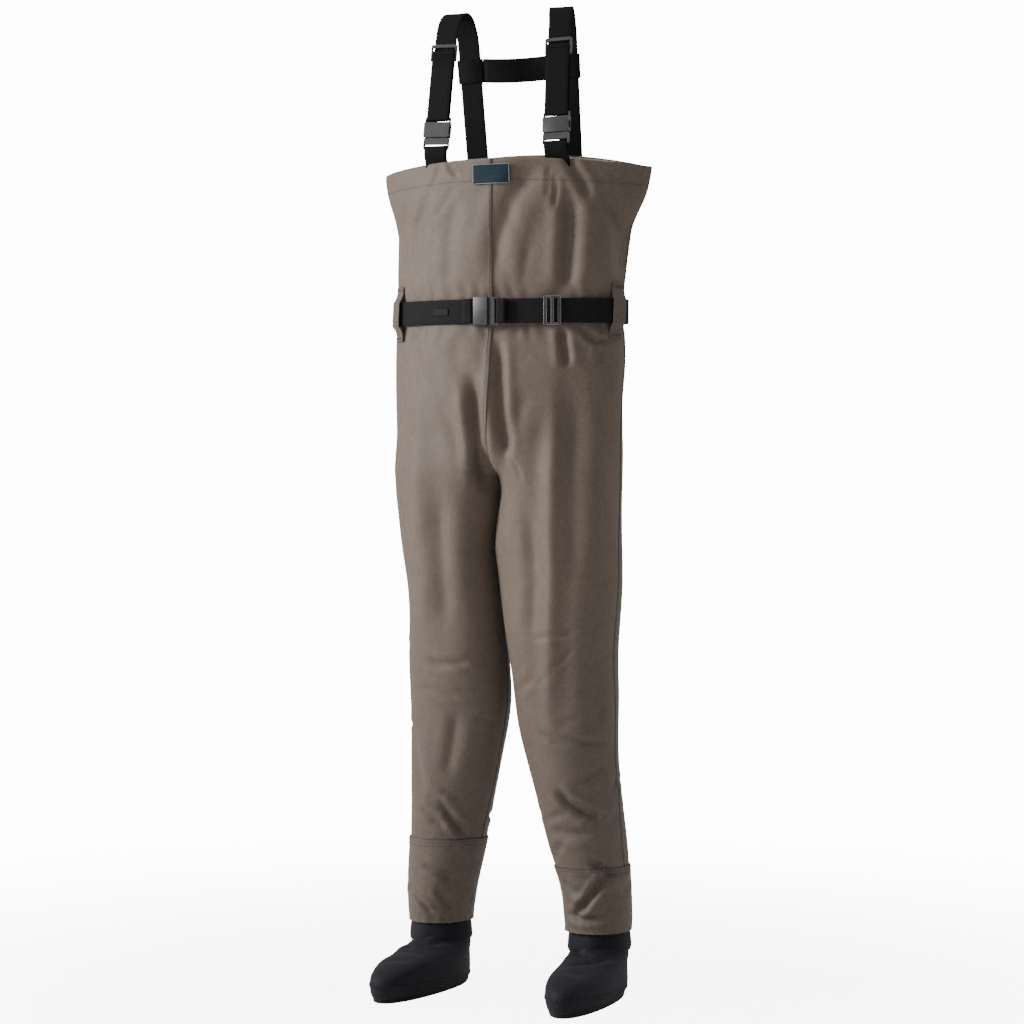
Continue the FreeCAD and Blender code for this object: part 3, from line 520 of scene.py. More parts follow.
class Look:
    """A material whose colour varies between two tones, with relief from the same patterns."""

    def __init__(self, name, dark, light, roughness, coords="UV"):
        self.material = bpy.data.materials.new(name)
        self.material.use_nodes = True
        self.nodes, self.links = self.material.node_tree.nodes, self.material.node_tree.links
        self.shader = self.nodes["Principled BSDF"]
        self.shader.inputs["Roughness"].default_value = roughness
        self.coords = self.nodes.new("ShaderNodeTexCoord").outputs[coords]
        self.dark, self.light = dark, light
        self.shades, self.relief, self.tints = [], [], []

    def constant(self, socket, value):
        """Set a shader socket to a constant."""
        self.shader.inputs[socket].default_value = value
        return self

    def math(self, operation, first, second):
        """One math node; each input is a socket or a number."""
        node = self.nodes.new("ShaderNodeMath")
        node.operation = operation
        for place, value in zip(node.inputs, (first, second)):
            if isinstance(value, (int, float)):
                place.default_value = value
            else:
                self.links.new(value, place)
        return node.outputs[0]

    def noise(self, size, share, height=0.0, stretch=(1, 1, 1), detail=3):
        """Soft blotches this many metres across."""
        mapping = self.nodes.new("ShaderNodeMapping")
        mapping.inputs["Scale"].default_value = stretch
        self.links.new(self.coords, mapping.inputs["Vector"])
        node = self.nodes.new("ShaderNodeTexNoise")
        node.inputs["Scale"].default_value = 1 / size
        node.inputs["Detail"].default_value = detail
        self.links.new(mapping.outputs["Vector"], node.inputs["Vector"])
        self.shades.append((node.outputs["Fac"], share))
        if height:
            self.relief.append((node.outputs["Fac"], height))
        return self

    def weave(self, pitch, share, height, diagonal=False):
        """Crossed yarns this far apart."""
        split = self.nodes.new("ShaderNodeSeparateXYZ")
        self.links.new(self.coords, split.inputs[0])
        across, along = split.outputs["X"], split.outputs["Y"]
        if diagonal:
            across = self.math("ADD", across, along)
        warp = self.math("SINE", self.math("MULTIPLY", across, 2 * math.pi / pitch), 0)
        weft = self.math("SINE", self.math("MULTIPLY", along, 2 * math.pi / pitch), 0)
        yarn = self.math("MULTIPLY_ADD", self.math("MULTIPLY", warp, weft), 0.5)
        yarn.node.inputs[2].default_value = 0.5
        self.shades.append((yarn, share))
        self.relief.append((yarn, height))
        return self

    def height_tint(self, start, end, most, tone):
        """Mix up to this much of a tone into the colour as the UV height goes from start to end."""
        split = self.nodes.new("ShaderNodeSeparateXYZ")
        self.links.new(self.coords, split.inputs[0])
        self.tints.append((eased(self.material.node_tree, split.outputs["Y"], start, end, 0, most), tone))
        return self

    def finish(self):
        """Join the patterns into colour and bump, and give the material."""
        total, value = sum(share for _, share in self.shades), None
        for pattern, share in self.shades:
            part = self.math("MULTIPLY", pattern, share / total)
            value = part if value is None else self.math("ADD", value, part)
        ramp = self.nodes.new("ShaderNodeValToRGB")
        ramp.color_ramp.elements[0].position = 0.34
        ramp.color_ramp.elements[1].position = 0.66
        ramp.color_ramp.elements[0].color = self.dark
        ramp.color_ramp.elements[1].color = self.light
        self.links.new(value, ramp.inputs["Fac"])
        colour = ramp.outputs["Color"]
        for factor, tone in self.tints:
            mix = self.nodes.new("ShaderNodeMix")
            mix.data_type = "RGBA"
            self.links.new(factor, mix.inputs["Factor"])
            self.links.new(colour, mix.inputs["A"])
            mix.inputs["B"].default_value = tone
            colour = mix.outputs["Result"]
        self.links.new(colour, self.shader.inputs["Base Color"])
        normal = None
        for pattern, height in self.relief:
            bump = self.nodes.new("ShaderNodeBump")
            bump.inputs["Strength"].default_value = 1
            bump.inputs["Distance"].default_value = height
            self.links.new(pattern, bump.inputs["Height"])
            if normal is not None:
                self.links.new(normal, bump.inputs["Normal"])
            normal = bump.outputs["Normal"]
        if normal is not None:
            self.links.new(normal, self.shader.inputs["Normal"])
        return self.material


def fabric_look(name):
    """Waterproof woven fabric with a faint crumple and a soft sheen."""
    look = Look(name, srgb(82, 71, 62), srgb(101, 88, 77), roughness=0.62)
    look.constant("Sheen Weight", 0.05).constant("Sheen Roughness", 0.5)
    look.constant("Specular IOR Level", 0.3)
    look.noise(0.055, 0.5).noise(0.012, 0.5, 0.0006).noise(0.0022, 0.9, 0.00012)
    look.weave(0.0011, 0.8, 0.00006)
    look.height_tint(0.75, 0.35, 0.4, srgb(66, 58, 51))
    return look.finish()


def lining_look():
    """Smooth pale-brown coated inside of the fabric."""
    look = Look("lining", srgb(96, 84, 74), srgb(120, 106, 94), roughness=0.5)
    return look.noise(0.03, 0.7, 0.0004).weave(0.0016, 0.4, 0.00005).finish()




def neoprene_look(name, dark, light):
    """Closed-cell foam with a fine pebbled face."""
    look = Look(name, dark, light, roughness=0.72, coords="Object")
    look.constant("Sheen Weight", 0.03).constant("Specular IOR Level", 0.25)
    return look.noise(0.03, 0.5).noise(0.0016, 0.8, 0.00018).finish()


def webbing_look(name, dark, light):
    """Ribbed polyester webbing: yarns across, ribs along."""
    look = Look(name, dark, light, roughness=0.7)
    look.constant("Specular IOR Level", 0.1)
    return look.weave(0.0026, 1.0, 0.00030).noise(0.02, 0.4).finish()


def plastic_look():
    """Satin moulded plastic with fine texture."""
    look = Look("moulded_plastic", srgb(30, 30, 32), srgb(44, 44, 47), roughness=0.42, coords="Object")
    return look.noise(0.012, 0.7).noise(0.0012, 0.5, 0.00006).finish()


def glint_edge_look():
    """Pale satin bevels of the belt's tri-glide: a painted highlight standing in for the glint of light on
    its edges.
    """
    look = Look("tri_glide_painted_glint", srgb(176, 171, 171), srgb(200, 196, 195), roughness=0.35, coords="Object")
    return look.noise(0.01, 1.0, 0.00005).finish()


def label_look(name, dark, light):
    """Dense satin-woven label cloth."""
    look = Look(name, dark, light, roughness=0.7)
    look.constant("Specular IOR Level", 0.2)
    return look.weave(0.0008, 0.8, 0.00005).noise(0.006, 0.5).finish()


def thread_look():
    """Sewing thread with a purple cast."""
    look = Look("stitching", srgb(58, 48, 62), srgb(84, 72, 90), roughness=0.6, coords="Object")
    return look.noise(0.002, 1.0, 0.0001).finish()


FABRIC_LOOK = fabric_look("shell_fabric")
LEG_LOOK = fabric_look("lower_leg_fabric")
LINING_LOOK = lining_look()
NEOPRENE_LOOK = neoprene_look("neoprene", srgb(4, 4, 12), srgb(9, 9, 20))
SOLE_LOOK = neoprene_look("neoprene_sole", srgb(4, 4, 10), srgb(10, 10, 17))
WEBBING_LOOK = webbing_look("webbing", srgb(4, 4, 5), srgb(9, 9, 10))
BELT_LOOK = webbing_look("belt_webbing", srgb(14, 14, 15), srgb(27, 27, 29))
ELASTIC_LOOK = webbing_look("elastic", srgb(40, 34, 30), srgb(56, 49, 43))
TAPE_LOOK = label_look("seam_tape", srgb(60, 52, 46), srgb(78, 69, 61))
PLASTIC_LOOK = plastic_look()
# The tri-glide's pale bevel colour is a painted highlight for the glint on its edges.
GLINT_EDGE_LOOK = glint_edge_look()
LABEL_LOOK = label_look("label", srgb(4, 25, 35), srgb(8, 36, 47))
BELT_LABEL_LOOK = label_look("belt_label", srgb(7, 7, 8), srgb(13, 13, 14))
BORDER_LOOK = label_look("label_border", srgb(86, 96, 100), srgb(112, 120, 122))
THREAD_LOOK = thread_look()


# ---------------------------------------------------------------- webbing and hardware

WEBBING_WIDE, WEBBING_THICK = 0.038, 0.0018


def frame_at(origin, up):
    """A hardware frame: Z along the webbing, -Y facing out, X across."""
    up = up.normalized()
    back = (up * OUT.dot(up) - OUT).normalized()
    side = back.cross(up)
    return Matrix.Translation(origin) @ Matrix((side, back, up)).transposed().to_4x4()


def moulded(node, rounding=0.0005, cuts=2, edge=None):
    """A bevelled, textured stand-in for a moulded CAD node; its edges may have their own look."""
    source = frame["nodes"][node]
    work = bmesh.new()
    work.from_mesh(source.data)
    bmesh.ops.remove_doubles(work, verts=work.verts, dist=1e-6)
    bmesh.ops.dissolve_limit(work, angle_limit=0.08, verts=work.verts, edges=work.edges)
    mesh = bpy.data.meshes.new(f"{node}_moulding")
    work.to_mesh(mesh)
    work.free()
    mesh.materials.append(PLASTIC_LOOK)
    piece = added(f"{node}_moulding", mesh)
    bevel = piece.modifiers.new("rounding", "BEVEL")
    bevel.width, bevel.segments = rounding, cuts
    bevel.limit_method, bevel.angle_limit = "ANGLE", math.radians(35)
    if edge is not None:
        mesh.materials.append(edge)
        bevel.material = 1
    settle(piece, source["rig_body"], "moulded_plastic", node)


def smoothed(points, per_span=6):
    """Catmull-Rom points through these vectors."""
    points = [Vector(point) for point in points]
    ends = [points[0] * 2 - points[1]] + points + [points[-1] * 2 - points[-2]]
    path = []
    for a, b, c, d in zip(ends, ends[1:], ends[2:], ends[3:]):
        for step in range(per_span):
            t = step / per_span
            path.append(0.5 * (2 * b + (c - a) * t + (2 * a - 5 * b + 4 * c - d) * t * t
                               + (3 * b - a - 3 * c + d) * t ** 3))
    return path + [points[-1]]


def ring_faces(rings, around, capped):
    """Quads between closed rings of points, and a face over both ends where they are capped."""
    faces = []
    for i in range(rings - 1):
        for j in range(around):
            k = (j + 1) % around
            faces.append((i * around + j, i * around + k, (i + 1) * around + k, (i + 1) * around + j))
    if capped:
        faces.append(tuple(range(around))[::-1])
        faces.append(tuple((rings - 1) * around + j for j in range(around)))
    return faces


def ribbon(name, path, across, look, wide=WEBBING_WIDE, thick=WEBBING_THICK):
    """Flat webbing with rounded edges swept along a path; across is its width direction,
    one vector or one per point."""
    if isinstance(across, Vector):
        across = [across] * len(path)
    edge = thick / 2
    profile = []
    for k in range(5):
        angle = -math.pi / 2 + math.pi * k / 4
        profile.append((wide / 2 - edge + edge * math.cos(angle), edge * math.sin(angle)))
    inner = np.linspace(wide / 2 - edge, -(wide / 2 - edge), 7)[1:-1]
    profile += [(x, edge) for x in inner]
    profile += [(-x, -y) for x, y in profile]
    verts, uvs, length = [], [], 0.0
    for i, point in enumerate(path):
        if i:
            length += (point - path[i - 1]).length
        forward = (path[min(i + 1, len(path) - 1)] - path[max(i - 1, 0)]).normalized()
        wide_way = (across[i] - forward * across[i].dot(forward)).normalized()
        face = wide_way.cross(forward).normalized()
        for x, y in profile:
            verts.append(point + wide_way * x + face * y)
            uvs.append((x, length))
    return plain_mesh(name, verts, ring_faces(len(path), len(profile), True), uvs, look)


def plain_mesh(name, verts, faces, uvs, look):
    """A smooth mesh from vertices with one UV each, its normals made consistent."""
    mesh = bpy.data.meshes.new(name)
    mesh.from_pydata([tuple(v) for v in verts], [], faces)
    layer = mesh.uv_layers.new(name="UVMap")
    for loop in mesh.loops:
        layer.data[loop.index].uv = uvs[loop.vertex_index]
    work = bmesh.new()
    work.from_mesh(mesh)
    bmesh.ops.recalc_face_normals(work, faces=work.faces)
    work.to_mesh(mesh)
    work.free()
    mesh.polygons.foreach_set("use_smooth", [len(p.vertices) < 5 for p in mesh.polygons])
    mesh.materials.append(look)
    return added(name, mesh)


def joined(name, pieces):
    """One object from several."""
    bpy.ops.object.select_all(action="DESELECT")
    for piece in pieces:
        piece.select_set(True)
    bpy.context.view_layer.objects.active = pieces[0]
    bpy.ops.object.join()
    pieces[0].name = name
    pieces[0].data.name = name
    return pieces[0]


def through(place, points):
    """Places (y, z) in a hardware frame, put into the scene."""
    return [place @ Vector((0, y, z)) for y, z in points]


def turn_round(place, bar_z, start, end):
    """Points round a hardware bar, from one angle to another; 0 is up the webbing, 90 is inward."""
    angles = [math.radians(start + (end - start) * step / 10) for step in range(11)]
    return through(place, [(BAR_TURN * math.sin(a), bar_z + BAR_TURN * math.cos(a)) for a in angles])


# ---------------------------------------------------------------- shoulder straps

SOCKET_BAR, PLUG_BAR, BAR_TURN = 0.030, -0.017, 0.0032
BACK_LAYER_END = 0.116
CROSS_STRAP_UP = 0.156
# The webbing over the shoulder for the left side, y counted like the garment outline's.
OVER_SHOULDER = [(0.0955, -0.051, 1.522), (0.0925, -0.043, 1.540), (0.089, -0.030, 1.548),
                 (0.086, -0.015, 1.541), (0.084, -0.004, 1.522), (0.083, 0.003, 1.497),
                 (0.0815, 0.0185, 1.400), (0.080, 0.034, 1.308)]
BACK_TOP, BACK_LOW = OVER_SHOULDER[-3], OVER_SHOULDER[-1]
# The sewn tab through the plug, (y, z) in the buckle's frame, behind the bar and in front of it.
TAB_BEHIND = [(0.0165, -0.052), (0.0095, -0.038), (0.0034, -0.028)]
TAB_BEFORE = [(-0.0002, -0.028), (0.0060, -0.038), (0.0138, -0.052)]


def mirrored(point, sign):
    """A left-side point placed in the frame, mirrored for the right side."""
    return Vector((sign * point[0], point[1] + FRONT_SHIFT, point[2]))


def strap_frames(side):
    """Frames where a shoulder buckle's halves meet, and at the middle of its slider."""
    slider = middle(f"shoulder_{side}_slider")
    socket = middle(f"shoulder_{side}_socket")
    up = (slider - socket).normalized()
    return frame_at(socket - up * 0.016, up), frame_at(slider, up)


def make_shoulder(side):
    """Tab, buckle, slider and webbing of one shoulder."""
    sign = SIDES[side]
    buckle, slider = strap_frames(side)
    across = Vector((1, 0.05 * sign, 0))
    for node in ("socket", "plug", "prong_a", "prong_b", "slider"):
        moulded(f"shoulder_{side}_{node}")

    path = through(buckle, TAB_BEHIND) + turn_round(buckle, PLUG_BAR, 90, -90) + through(buckle, TAB_BEFORE)
    tab = ribbon(f"tab_{side}", path, across, WEBBING_LOOK)
    settle(tab, "root", "webbing", f"plug_tab_{side}")

    reach = (slider.translation - buckle.translation).length
    path = through(buckle, [(BAR_TURN, z) for z in (BACK_LAYER_END, 0.088, 0.060, 0.040)])
    path += turn_round(buckle, SOCKET_BAR, 90, 270)
    path += through(buckle, [(-BAR_TURN, z) for z in (0.040, 0.062, 0.085, 0.108, reach - 0.0036)])
    webbing = ribbon(f"front_strap_{side}", path, across, WEBBING_LOOK)
    settle(webbing, "root", "webbing", f"front_webbing_{side}")
    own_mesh(webbing)

    path = through(slider, [(-BAR_TURN, -0.0035)]) + turn_round(slider, 0, -90, 90)
    path += through(slider, [(BAR_TURN - 0.0002, -0.0035)])
    wrap = ribbon(f"slider_turn_{side}", path, across, WEBBING_LOOK)
    settle(wrap, f"slider_{side}", "webbing")

    path = through(buckle, [(BAR_TURN, z) for z in (BACK_LAYER_END + 0.0003, 0.130, 0.150)])
    path += [mirrored(point, sign) for point in OVER_SHOULDER]
    webbing = ribbon(f"shoulder_strap_{side}", smoothed(path, 8), across, WEBBING_LOOK)
    settle(webbing, "root", "webbing", f"shoulder_webbing_{side}")


def make_cross_strap():
    """The strap across the back with a sleeve round each shoulder strap."""
    half_x, half_y = WEBBING_WIDE / 2 + 0.001 + WEBBING_THICK / 2, WEBBING_THICK + 0.0003
    ends = []
    for side, sign in SIDES.items():
        low, top = mirrored(BACK_LOW, sign), mirrored(BACK_TOP, sign)
        up = (top - low).normalized()
        place = frame_at(low + up * CROSS_STRAP_UP, up)
        loop = [(-half_x, 0), (-half_x, half_y * 0.7), (-half_x + 0.001, half_y), (0, half_y + 0.0003),
                (half_x - 0.001, half_y), (half_x, half_y * 0.7), (half_x, 0), (half_x, -half_y * 0.7),
                (half_x - 0.001, -half_y), (0, -half_y - 0.0003), (-half_x + 0.001, -half_y),
                (-half_x, -half_y * 0.7), (-half_x, -0.0002)]
        path = [place @ Vector((x, y, 0)) for x, y in loop]
        sleeve = ribbon(f"sleeve_{side}", path, up, WEBBING_LOOK)
        settle(sleeve, "cross_strap", "webbing", f"cross_sleeve_{side}")
        ends.append((place @ Vector((-sign * (half_x + 0.0006), 0, 0)), up))
    (left, up), (right, _) = ends
    path = []
    for step in range(13):
        t = step / 12
        sag = 4 * t * (1 - t)
        path.append(left.lerp(right, t) + Vector((0, 0.0012 * sag, -0.0025 * sag)))
    strap = ribbon("back_strap", path, up, WEBBING_LOOK)
    settle(strap, "cross_strap", "webbing", "cross_strap")


# ---------------------------------------------------------------- belt

BELT_OFF, TAIL_OFF, FOLD_BACK = 0.0038, 0.0060, 0.013
SOCKET_BAR_X, PLUG_BAR_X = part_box("belt_socket")[0].x + 0.002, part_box("belt_plug")[1].x - 0.002
BUCKLE_Y = middle("belt_plug").y
GLIDE_X = middle("belt_tri_glide").x
TAIL_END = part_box("belt_tail")[1].x
LOOP_X = 0.178
LOOP_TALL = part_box("belt_loop_left")[1].z - BELT_Z
# The webbing over the tri-glide's bars, as (x from its middle, distance off the waist).
OVER_GLIDE = [(-0.0070, 0.0052), (-0.0050, 0.0066), (-0.0036, 0.0090), (-0.0018, 0.0103), (0, 0.0106),
              (0.0018, 0.0103), (0.0036, 0.0090), (0.0050, 0.0066), (0.0070, 0.0052)]


def off_waist(turn, sign, off, z=BELT_Z):
    """A point off the garment's plain outline, straight out from it, and that direction."""
    here, ahead, behind = [Vector(outline(z, np.array(turn + step), sign)) for step in (0, 0.004, -0.004)]
    out = (ahead - behind).cross(UP).normalized() * sign
    return here + out * off, out


def front_turn(x, z=BELT_Z):
    """Turn of the outline's front at this x, and the half it lies on."""
    x = x - lean(z)
    share = min(abs(x) / CURVES[0](z), 1) ** (1 / CURVES[6](z))
    return math.asin(share) / (math.pi / 2), 1 if x >= 0 else -1


def front_path(places):
    """Points along the front of the waist from (x, off) pairs."""
    return [off_waist(*front_turn(x), off)[0] for x, off in places]


def folded_end(x, way):
    """Belt webbing folded back outside a bar that crosses the belt, and round it to the inside."""
    points = [Vector((x - way * back, BUCKLE_Y - BAR_TURN, BELT_Z)) for back in (FOLD_BACK, 0.007, 0.002)]
    for step in range(9):
        angle = math.pi * step / 8
        points.append(Vector((x + way * BAR_TURN * math.sin(angle),
                              BUCKLE_Y - BAR_TURN * math.cos(angle), BELT_Z)))
    return points


def make_belt():
    """Belt webbing, tail, front length, tri-glide and buckle."""
    for node in ("belt_socket", "belt_plug", "belt_prong_a", "belt_prong_b"):
        moulded(node)
    # The tri-glide's bevels get a pale colour: a painted highlight for the glint on its edges.
    moulded("belt_tri_glide", 0.0007, 3, GLINT_EDGE_LOOK)

    around = [(turn, -1) for turn in np.linspace(front_turn(SOCKET_BAR_X - 0.012)[0], 2, 70)]
    around += [(turn, 1) for turn in np.linspace(2, front_turn(GLIDE_X + 0.001)[0], 60)[1:]]
    waist = [off_waist(turn, sign, BELT_OFF)[0] for turn, sign in around]
    belt = ribbon("belt", folded_end(SOCKET_BAR_X, 1) + waist, UP, BELT_LOOK)
    settle(belt, "root", "belt_webbing", "belt_webbing")

    stations = np.linspace(PLUG_BAR_X + 0.012, GLIDE_X - 0.0005, 16)
    path = folded_end(PLUG_BAR_X, -1) + front_path([(x, BELT_OFF) for x in stations])
    front = ribbon("belt_front", path, UP, BELT_LOOK)
    settle(front, "root", "belt_webbing", "belt_front_webbing")
    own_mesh(front)

    turn = ribbon("glide_turn", front_path([(GLIDE_X + x, off) for x, off in OVER_GLIDE]), UP, BELT_LOOK)
    settle(turn, "belt_tri_glide", "belt_webbing")

    stations = np.linspace(GLIDE_X + 0.0075, TAIL_END, 30)
    sag = [(x, TAIL_OFF + 0.0006 * math.sin((x - GLIDE_X) * 90)) for x in stations]
    tail = ribbon("tail", front_path(sag), UP, BELT_LOOK)
    settle(tail, "root", "belt_webbing", "belt_tail")


def loop_places():
    """Turn and half of each belt loop."""
    return {"left": front_turn(LOOP_X), "right": front_turn(-LOOP_X), "back": (2.0, 1)}


def make_loops():
    """The three fabric loops that hold the belt."""
    tall, out = LOOP_TALL, 0.0098
    profile = [(-tall, 0.0012), (-tall + 0.010, 0.0014), (-0.024, 0.0050), (-0.019, 0.0092), (-0.012, out),
               (0.012, out), (0.019, 0.0092), (0.024, 0.0060), (tall - 0.010, 0.0036), (tall, 0.0034)]
    for name, (turn, sign) in loop_places().items():
        _, away = off_waist(turn, sign, 0)
        path = [off_waist(turn, sign, off, BELT_Z + z)[0] for z, off in profile]
        loop = ribbon(f"loop_{name}", smoothed(path, 5), UP.cross(away), FABRIC_LOOK, 0.025, 0.0018)
        settle(loop, "root", "shell_fabric", f"belt_loop_{name}")


# ---------------------------------------------------------------- garment pieces

UNDER_GUARD_LOW = 0.131
GUARD_SEAM = {"left": GUARD_TOP - 0.018, "right": GUARD_TOP + 0.015}
TOP = LEVELS[-1][0]
HEM_DEEP = 0.044
UPPER_LOOKS, LOWER_LOOKS = [FABRIC_LOOK, LINING_LOOK], [LEG_LOOK, LINING_LOOK]


def hang_upper(piece):
    """The piece's placement is baked into its mesh."""
    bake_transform(piece)


def hang_lower(piece):
    """The piece's placement is baked into its mesh."""
    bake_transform(piece)


def felled_seam(name, sign, high, low, turn, half_wide):
    """A flat-felled seam: a raised strip of doubled fabric along a line of the garment."""
    z = np.linspace(high, low, int((high - low) / 0.004))[:, None]
    reach = half_wide / quarter_length(z)
    return patch(name, sign, z, turn + reach * np.linspace(-1, 1, 5)[None, :], [FABRIC_LOOK], 0.0009, 0.0010)


def make_garment():
    """Bib with thighs, lower legs and gravel guards of both halves, and their long seams."""
    for side, sign in SIDES.items():
        seam_z = GUARD_SEAM[side]
        upper = skin(f"upper_{side}", side, TOP, SPLIT_Z, 0.0034, 150, UPPER_LOOKS, open_end="low")
        hang_upper(upper)
        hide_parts(f"bib_front_{side}", f"bib_back_{side}", f"thigh_panel_{side}")
        hang_upper(felled_seam(f"side_seam_{side}", sign, TOP, SPLIT_Z, 1.0, 0.004))
        hang_upper(felled_seam(f"inseam_{side}", sign, CROTCH_Z - 0.002, SPLIT_Z, 3.0, 0.004))

        lower = skin(f"lower_{side}", side, SPLIT_Z, seam_z - 0.006, 0.0032, 150, LOWER_LOOKS,
                     open_end="high")
        hang_lower(lower)
        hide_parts(f"shin_panel_{side}")
        hang_lower(felled_seam(f"side_seam_low_{side}", sign, SPLIT_Z, seam_z, 1.0, 0.004))
        hang_lower(felled_seam(f"inseam_low_{side}", sign, SPLIT_Z, seam_z, 3.0, 0.004))

        guard = skin(f"guard_{side}", side, seam_z, GUARD_HEM, 0.0026, 190, LOWER_LOOKS, 0.0022)
        settle(guard, f"shin_{side}", "lower_leg_fabric", f"gravel_guard_{side}")
        under = skin(f"under_guard_{side}", side, seam_z - 0.005, UNDER_GUARD_LOW, 0.004, 120,
                     LOWER_LOOKS, -0.0050)
        settle(under, f"shin_{side}", "lining_fabric", f"ankle_lining_{side}")
        hem = skin(f"hem_band_{side}", side, GUARD_HEM + 0.016, GUARD_HEM + 0.0006, 0.003, 190,
                   [ELASTIC_LOOK], 0.0006)
        settle(hem, f"shin_{side}", "elastic", f"hem_elastic_{side}")


def two_halves(name, high, low, wide_left, wide_right, end, materials, lift, thickness):
    """A strip down the front (end 0) or back (end 1) middle, this wide on each half, as one piece."""
    parts = []
    for sign, wide in ((1, wide_left), (-1, wide_right)):
        z = np.linspace(high, low, int((high - low) / 0.004))[:, None]
        limit = turn_limits(z)[end]
        reach = wide / quarter_length(z) * (1 if end == 0 else -1)
        parts.append(patch(f"{name}_{sign}", sign, z, limit + reach * np.linspace(0, 1, 4)[None, :],
                           materials, lift, thickness))
    return joined(name, parts)


def make_middle_seams():
    """Centre seams outside, their tapes inside, and the facing inside the rim."""
    for place, end in (("front", 0), ("back", 1)):
        seam = two_halves(f"centre_seam_{place}", TOP, CROTCH_Z + 0.012, 0.0065, 0.0016, end,
                          [FABRIC_LOOK], 0.0010, 0.0012)
        tape = two_halves(f"centre_tape_{place}", TOP - HEM_DEEP - 0.004, 0.94, 0.011, 0.011, end,
                          [TAPE_LOOK], -FABRIC, 0.0005)
        settle(seam, "root", "shell_fabric")
        settle(tape, "root", "seam_tape", f"seam_tape_{place}")
    halves = [skin(f"facing_{side}", side, TOP - 0.001, TOP - HEM_DEEP, 0.004, 150, [LINING_LOOK], -FABRIC)
              for side in SIDES]
    settle(joined("rim_facing_fabric", halves), "root", "lining_fabric", "rim_facing")


# ---------------------------------------------------------------- labels

BELT_LABEL_X = (-0.102, -0.073)
CHEST_LABEL_X = (-0.028, 0.033)
CHEST_LABEL_DOWN = (0.012, 0.052)
BORDER = 0.0016


def on_chest(name, left, right, high, low, look, lift, thickness):
    """A rectangle on the front of the chest, between two x and two nominal heights."""
    z = np.linspace(high, low, 10)[:, None]
    x = np.linspace(left, right, max(int((right - left) / 0.003), 2))[None, :]
    share = np.clip(np.abs(x) / CURVES[0](z), 0, 1) ** (1 / CURVES[6](z))
    turn = np.arcsin(share) / (math.pi / 2)
    on_left, on_right = [surface(z, turn, sign, lift)[0] for sign in (1, -1)]
    points = np.where((x > 0)[..., None], on_left, on_right)
    uvs = np.stack(np.broadcast_arrays(x, z), axis=-1)
    return thickened(grid_object(name, points, uvs, [look]), thickness)


def make_chest_label():
    """A blank woven label with a raised border below the rim."""
    left, right = CHEST_LABEL_X
    high, low = [TOP - down for down in CHEST_LABEL_DOWN]
    parts = [on_chest("label", left, right, high, low, LABEL_LOOK, 0.0040, 0.0014)]
    for strip in ((left, right, high, high - BORDER), (left, right, low + BORDER, low),
                  (left, left + BORDER, high, low), (right - BORDER, right, high, low)):
        parts.append(on_chest("label_border", *strip, BORDER_LOOK, 0.0044, 0.0008))
    settle(joined("chest_label_cloth", parts), "root", "label", "chest_label")


def make_belt_label():
    """A small blank label on the belt."""
    stations = np.linspace(*BELT_LABEL_X, 10)
    panel = ribbon("belt_label_cloth", front_path([(x, BELT_OFF + 0.0013) for x in stations]), UP,
                   BELT_LABEL_LOOK, 0.010, 0.0008)
    settle(panel, "root", "label", "belt_label")


# ---------------------------------------------------------------- booties and cuffs

# Bootie outline about its ankle: height, toe y, heel y, half width, y of the widest place.
FOOT = [
    (0.000, -0.194, 0.048, 0.034, -0.050),
    (0.004, -0.205, 0.058, 0.043, -0.050),
    (0.012, -0.211, 0.062, 0.048, -0.053),
    (0.024, -0.2125, 0.063, 0.0505, -0.057),
    (0.036, -0.209, 0.062, 0.051, -0.060),
    (0.045, -0.199, 0.060, 0.0505, -0.054),
    (0.053, -0.178, 0.057, 0.0490, -0.040),
    (0.060, -0.138, 0.053, 0.0475, -0.020),
    (0.066, -0.092, 0.049, 0.0460, -0.006),
    (0.073, -0.062, 0.046, 0.0450, 0.000),
    (0.084, -0.050, 0.0446, 0.0446, 0.000),
    (0.100, -0.0430, 0.0430, 0.0430, 0.000),
    (0.130, -0.0425, 0.0425, 0.0425, 0.000),
]
FOOT_CURVES = curves(FOOT)
SOLE_TOP = 0.0062
TOE_OUT = {"left": 4.0, "right": -4.0}
FOOT_ASIDE = {"left": -0.002, "right": -0.009}
# The cuff's heights above its lower edge, and how far each stands inside the hem's outline.
CUFF = [(0, 0.0062), (0.0006, 0.0034), (0.003, 0.0016), (0.008, 0.0008), (0.014, 0.0012),
        (0.022, 0.0020), (0.030, 0.0030), (0.040, 0.0040), (0.0485, 0.0046), (0.051, 0.0060)]
# The sole's heights, and how far each stands out from the bootie's outline.
SOLE = [(0.0, -0.0022), (0.0006, -0.0004), (0.0018, 0.0004), (0.0040, 0.0009), (0.0056, 0.0010),
        (SOLE_TOP, 0.0004), (SOLE_TOP, -0.0040)]
# Creases across the instep and ankle: points (x, height along the top), depth, half width.
INSTEP_CREASES = [
    ([(-0.040, -0.030), (-0.010, -0.066), (0.034, -0.078)], 0.0030, 0.0050),
    ([(0.042, -0.036), (0.012, -0.094), (-0.030, -0.112)], 0.0022, 0.0060),
    ([(-0.020, -0.140), (0.020, -0.150)], 0.0012, 0.0080),
]


def foot_point(z, angle):
    """Bootie surface about its ankle; angle 0 is the toe, and turns towards +X."""
    z, angle = paired(z, angle)
    toe, heel, half, wide = [curve(z) for curve in FOOT_CURVES]
    ahead = np.cos(angle)
    x = half * np.sign(np.sin(angle)) * np.abs(np.sin(angle)) ** np.where(ahead > 0, 0.94, 1.0)
    y = wide + np.where(ahead > 0, wide - toe, heel - wide) * -ahead
    return np.stack([x, y, z], axis=-1)


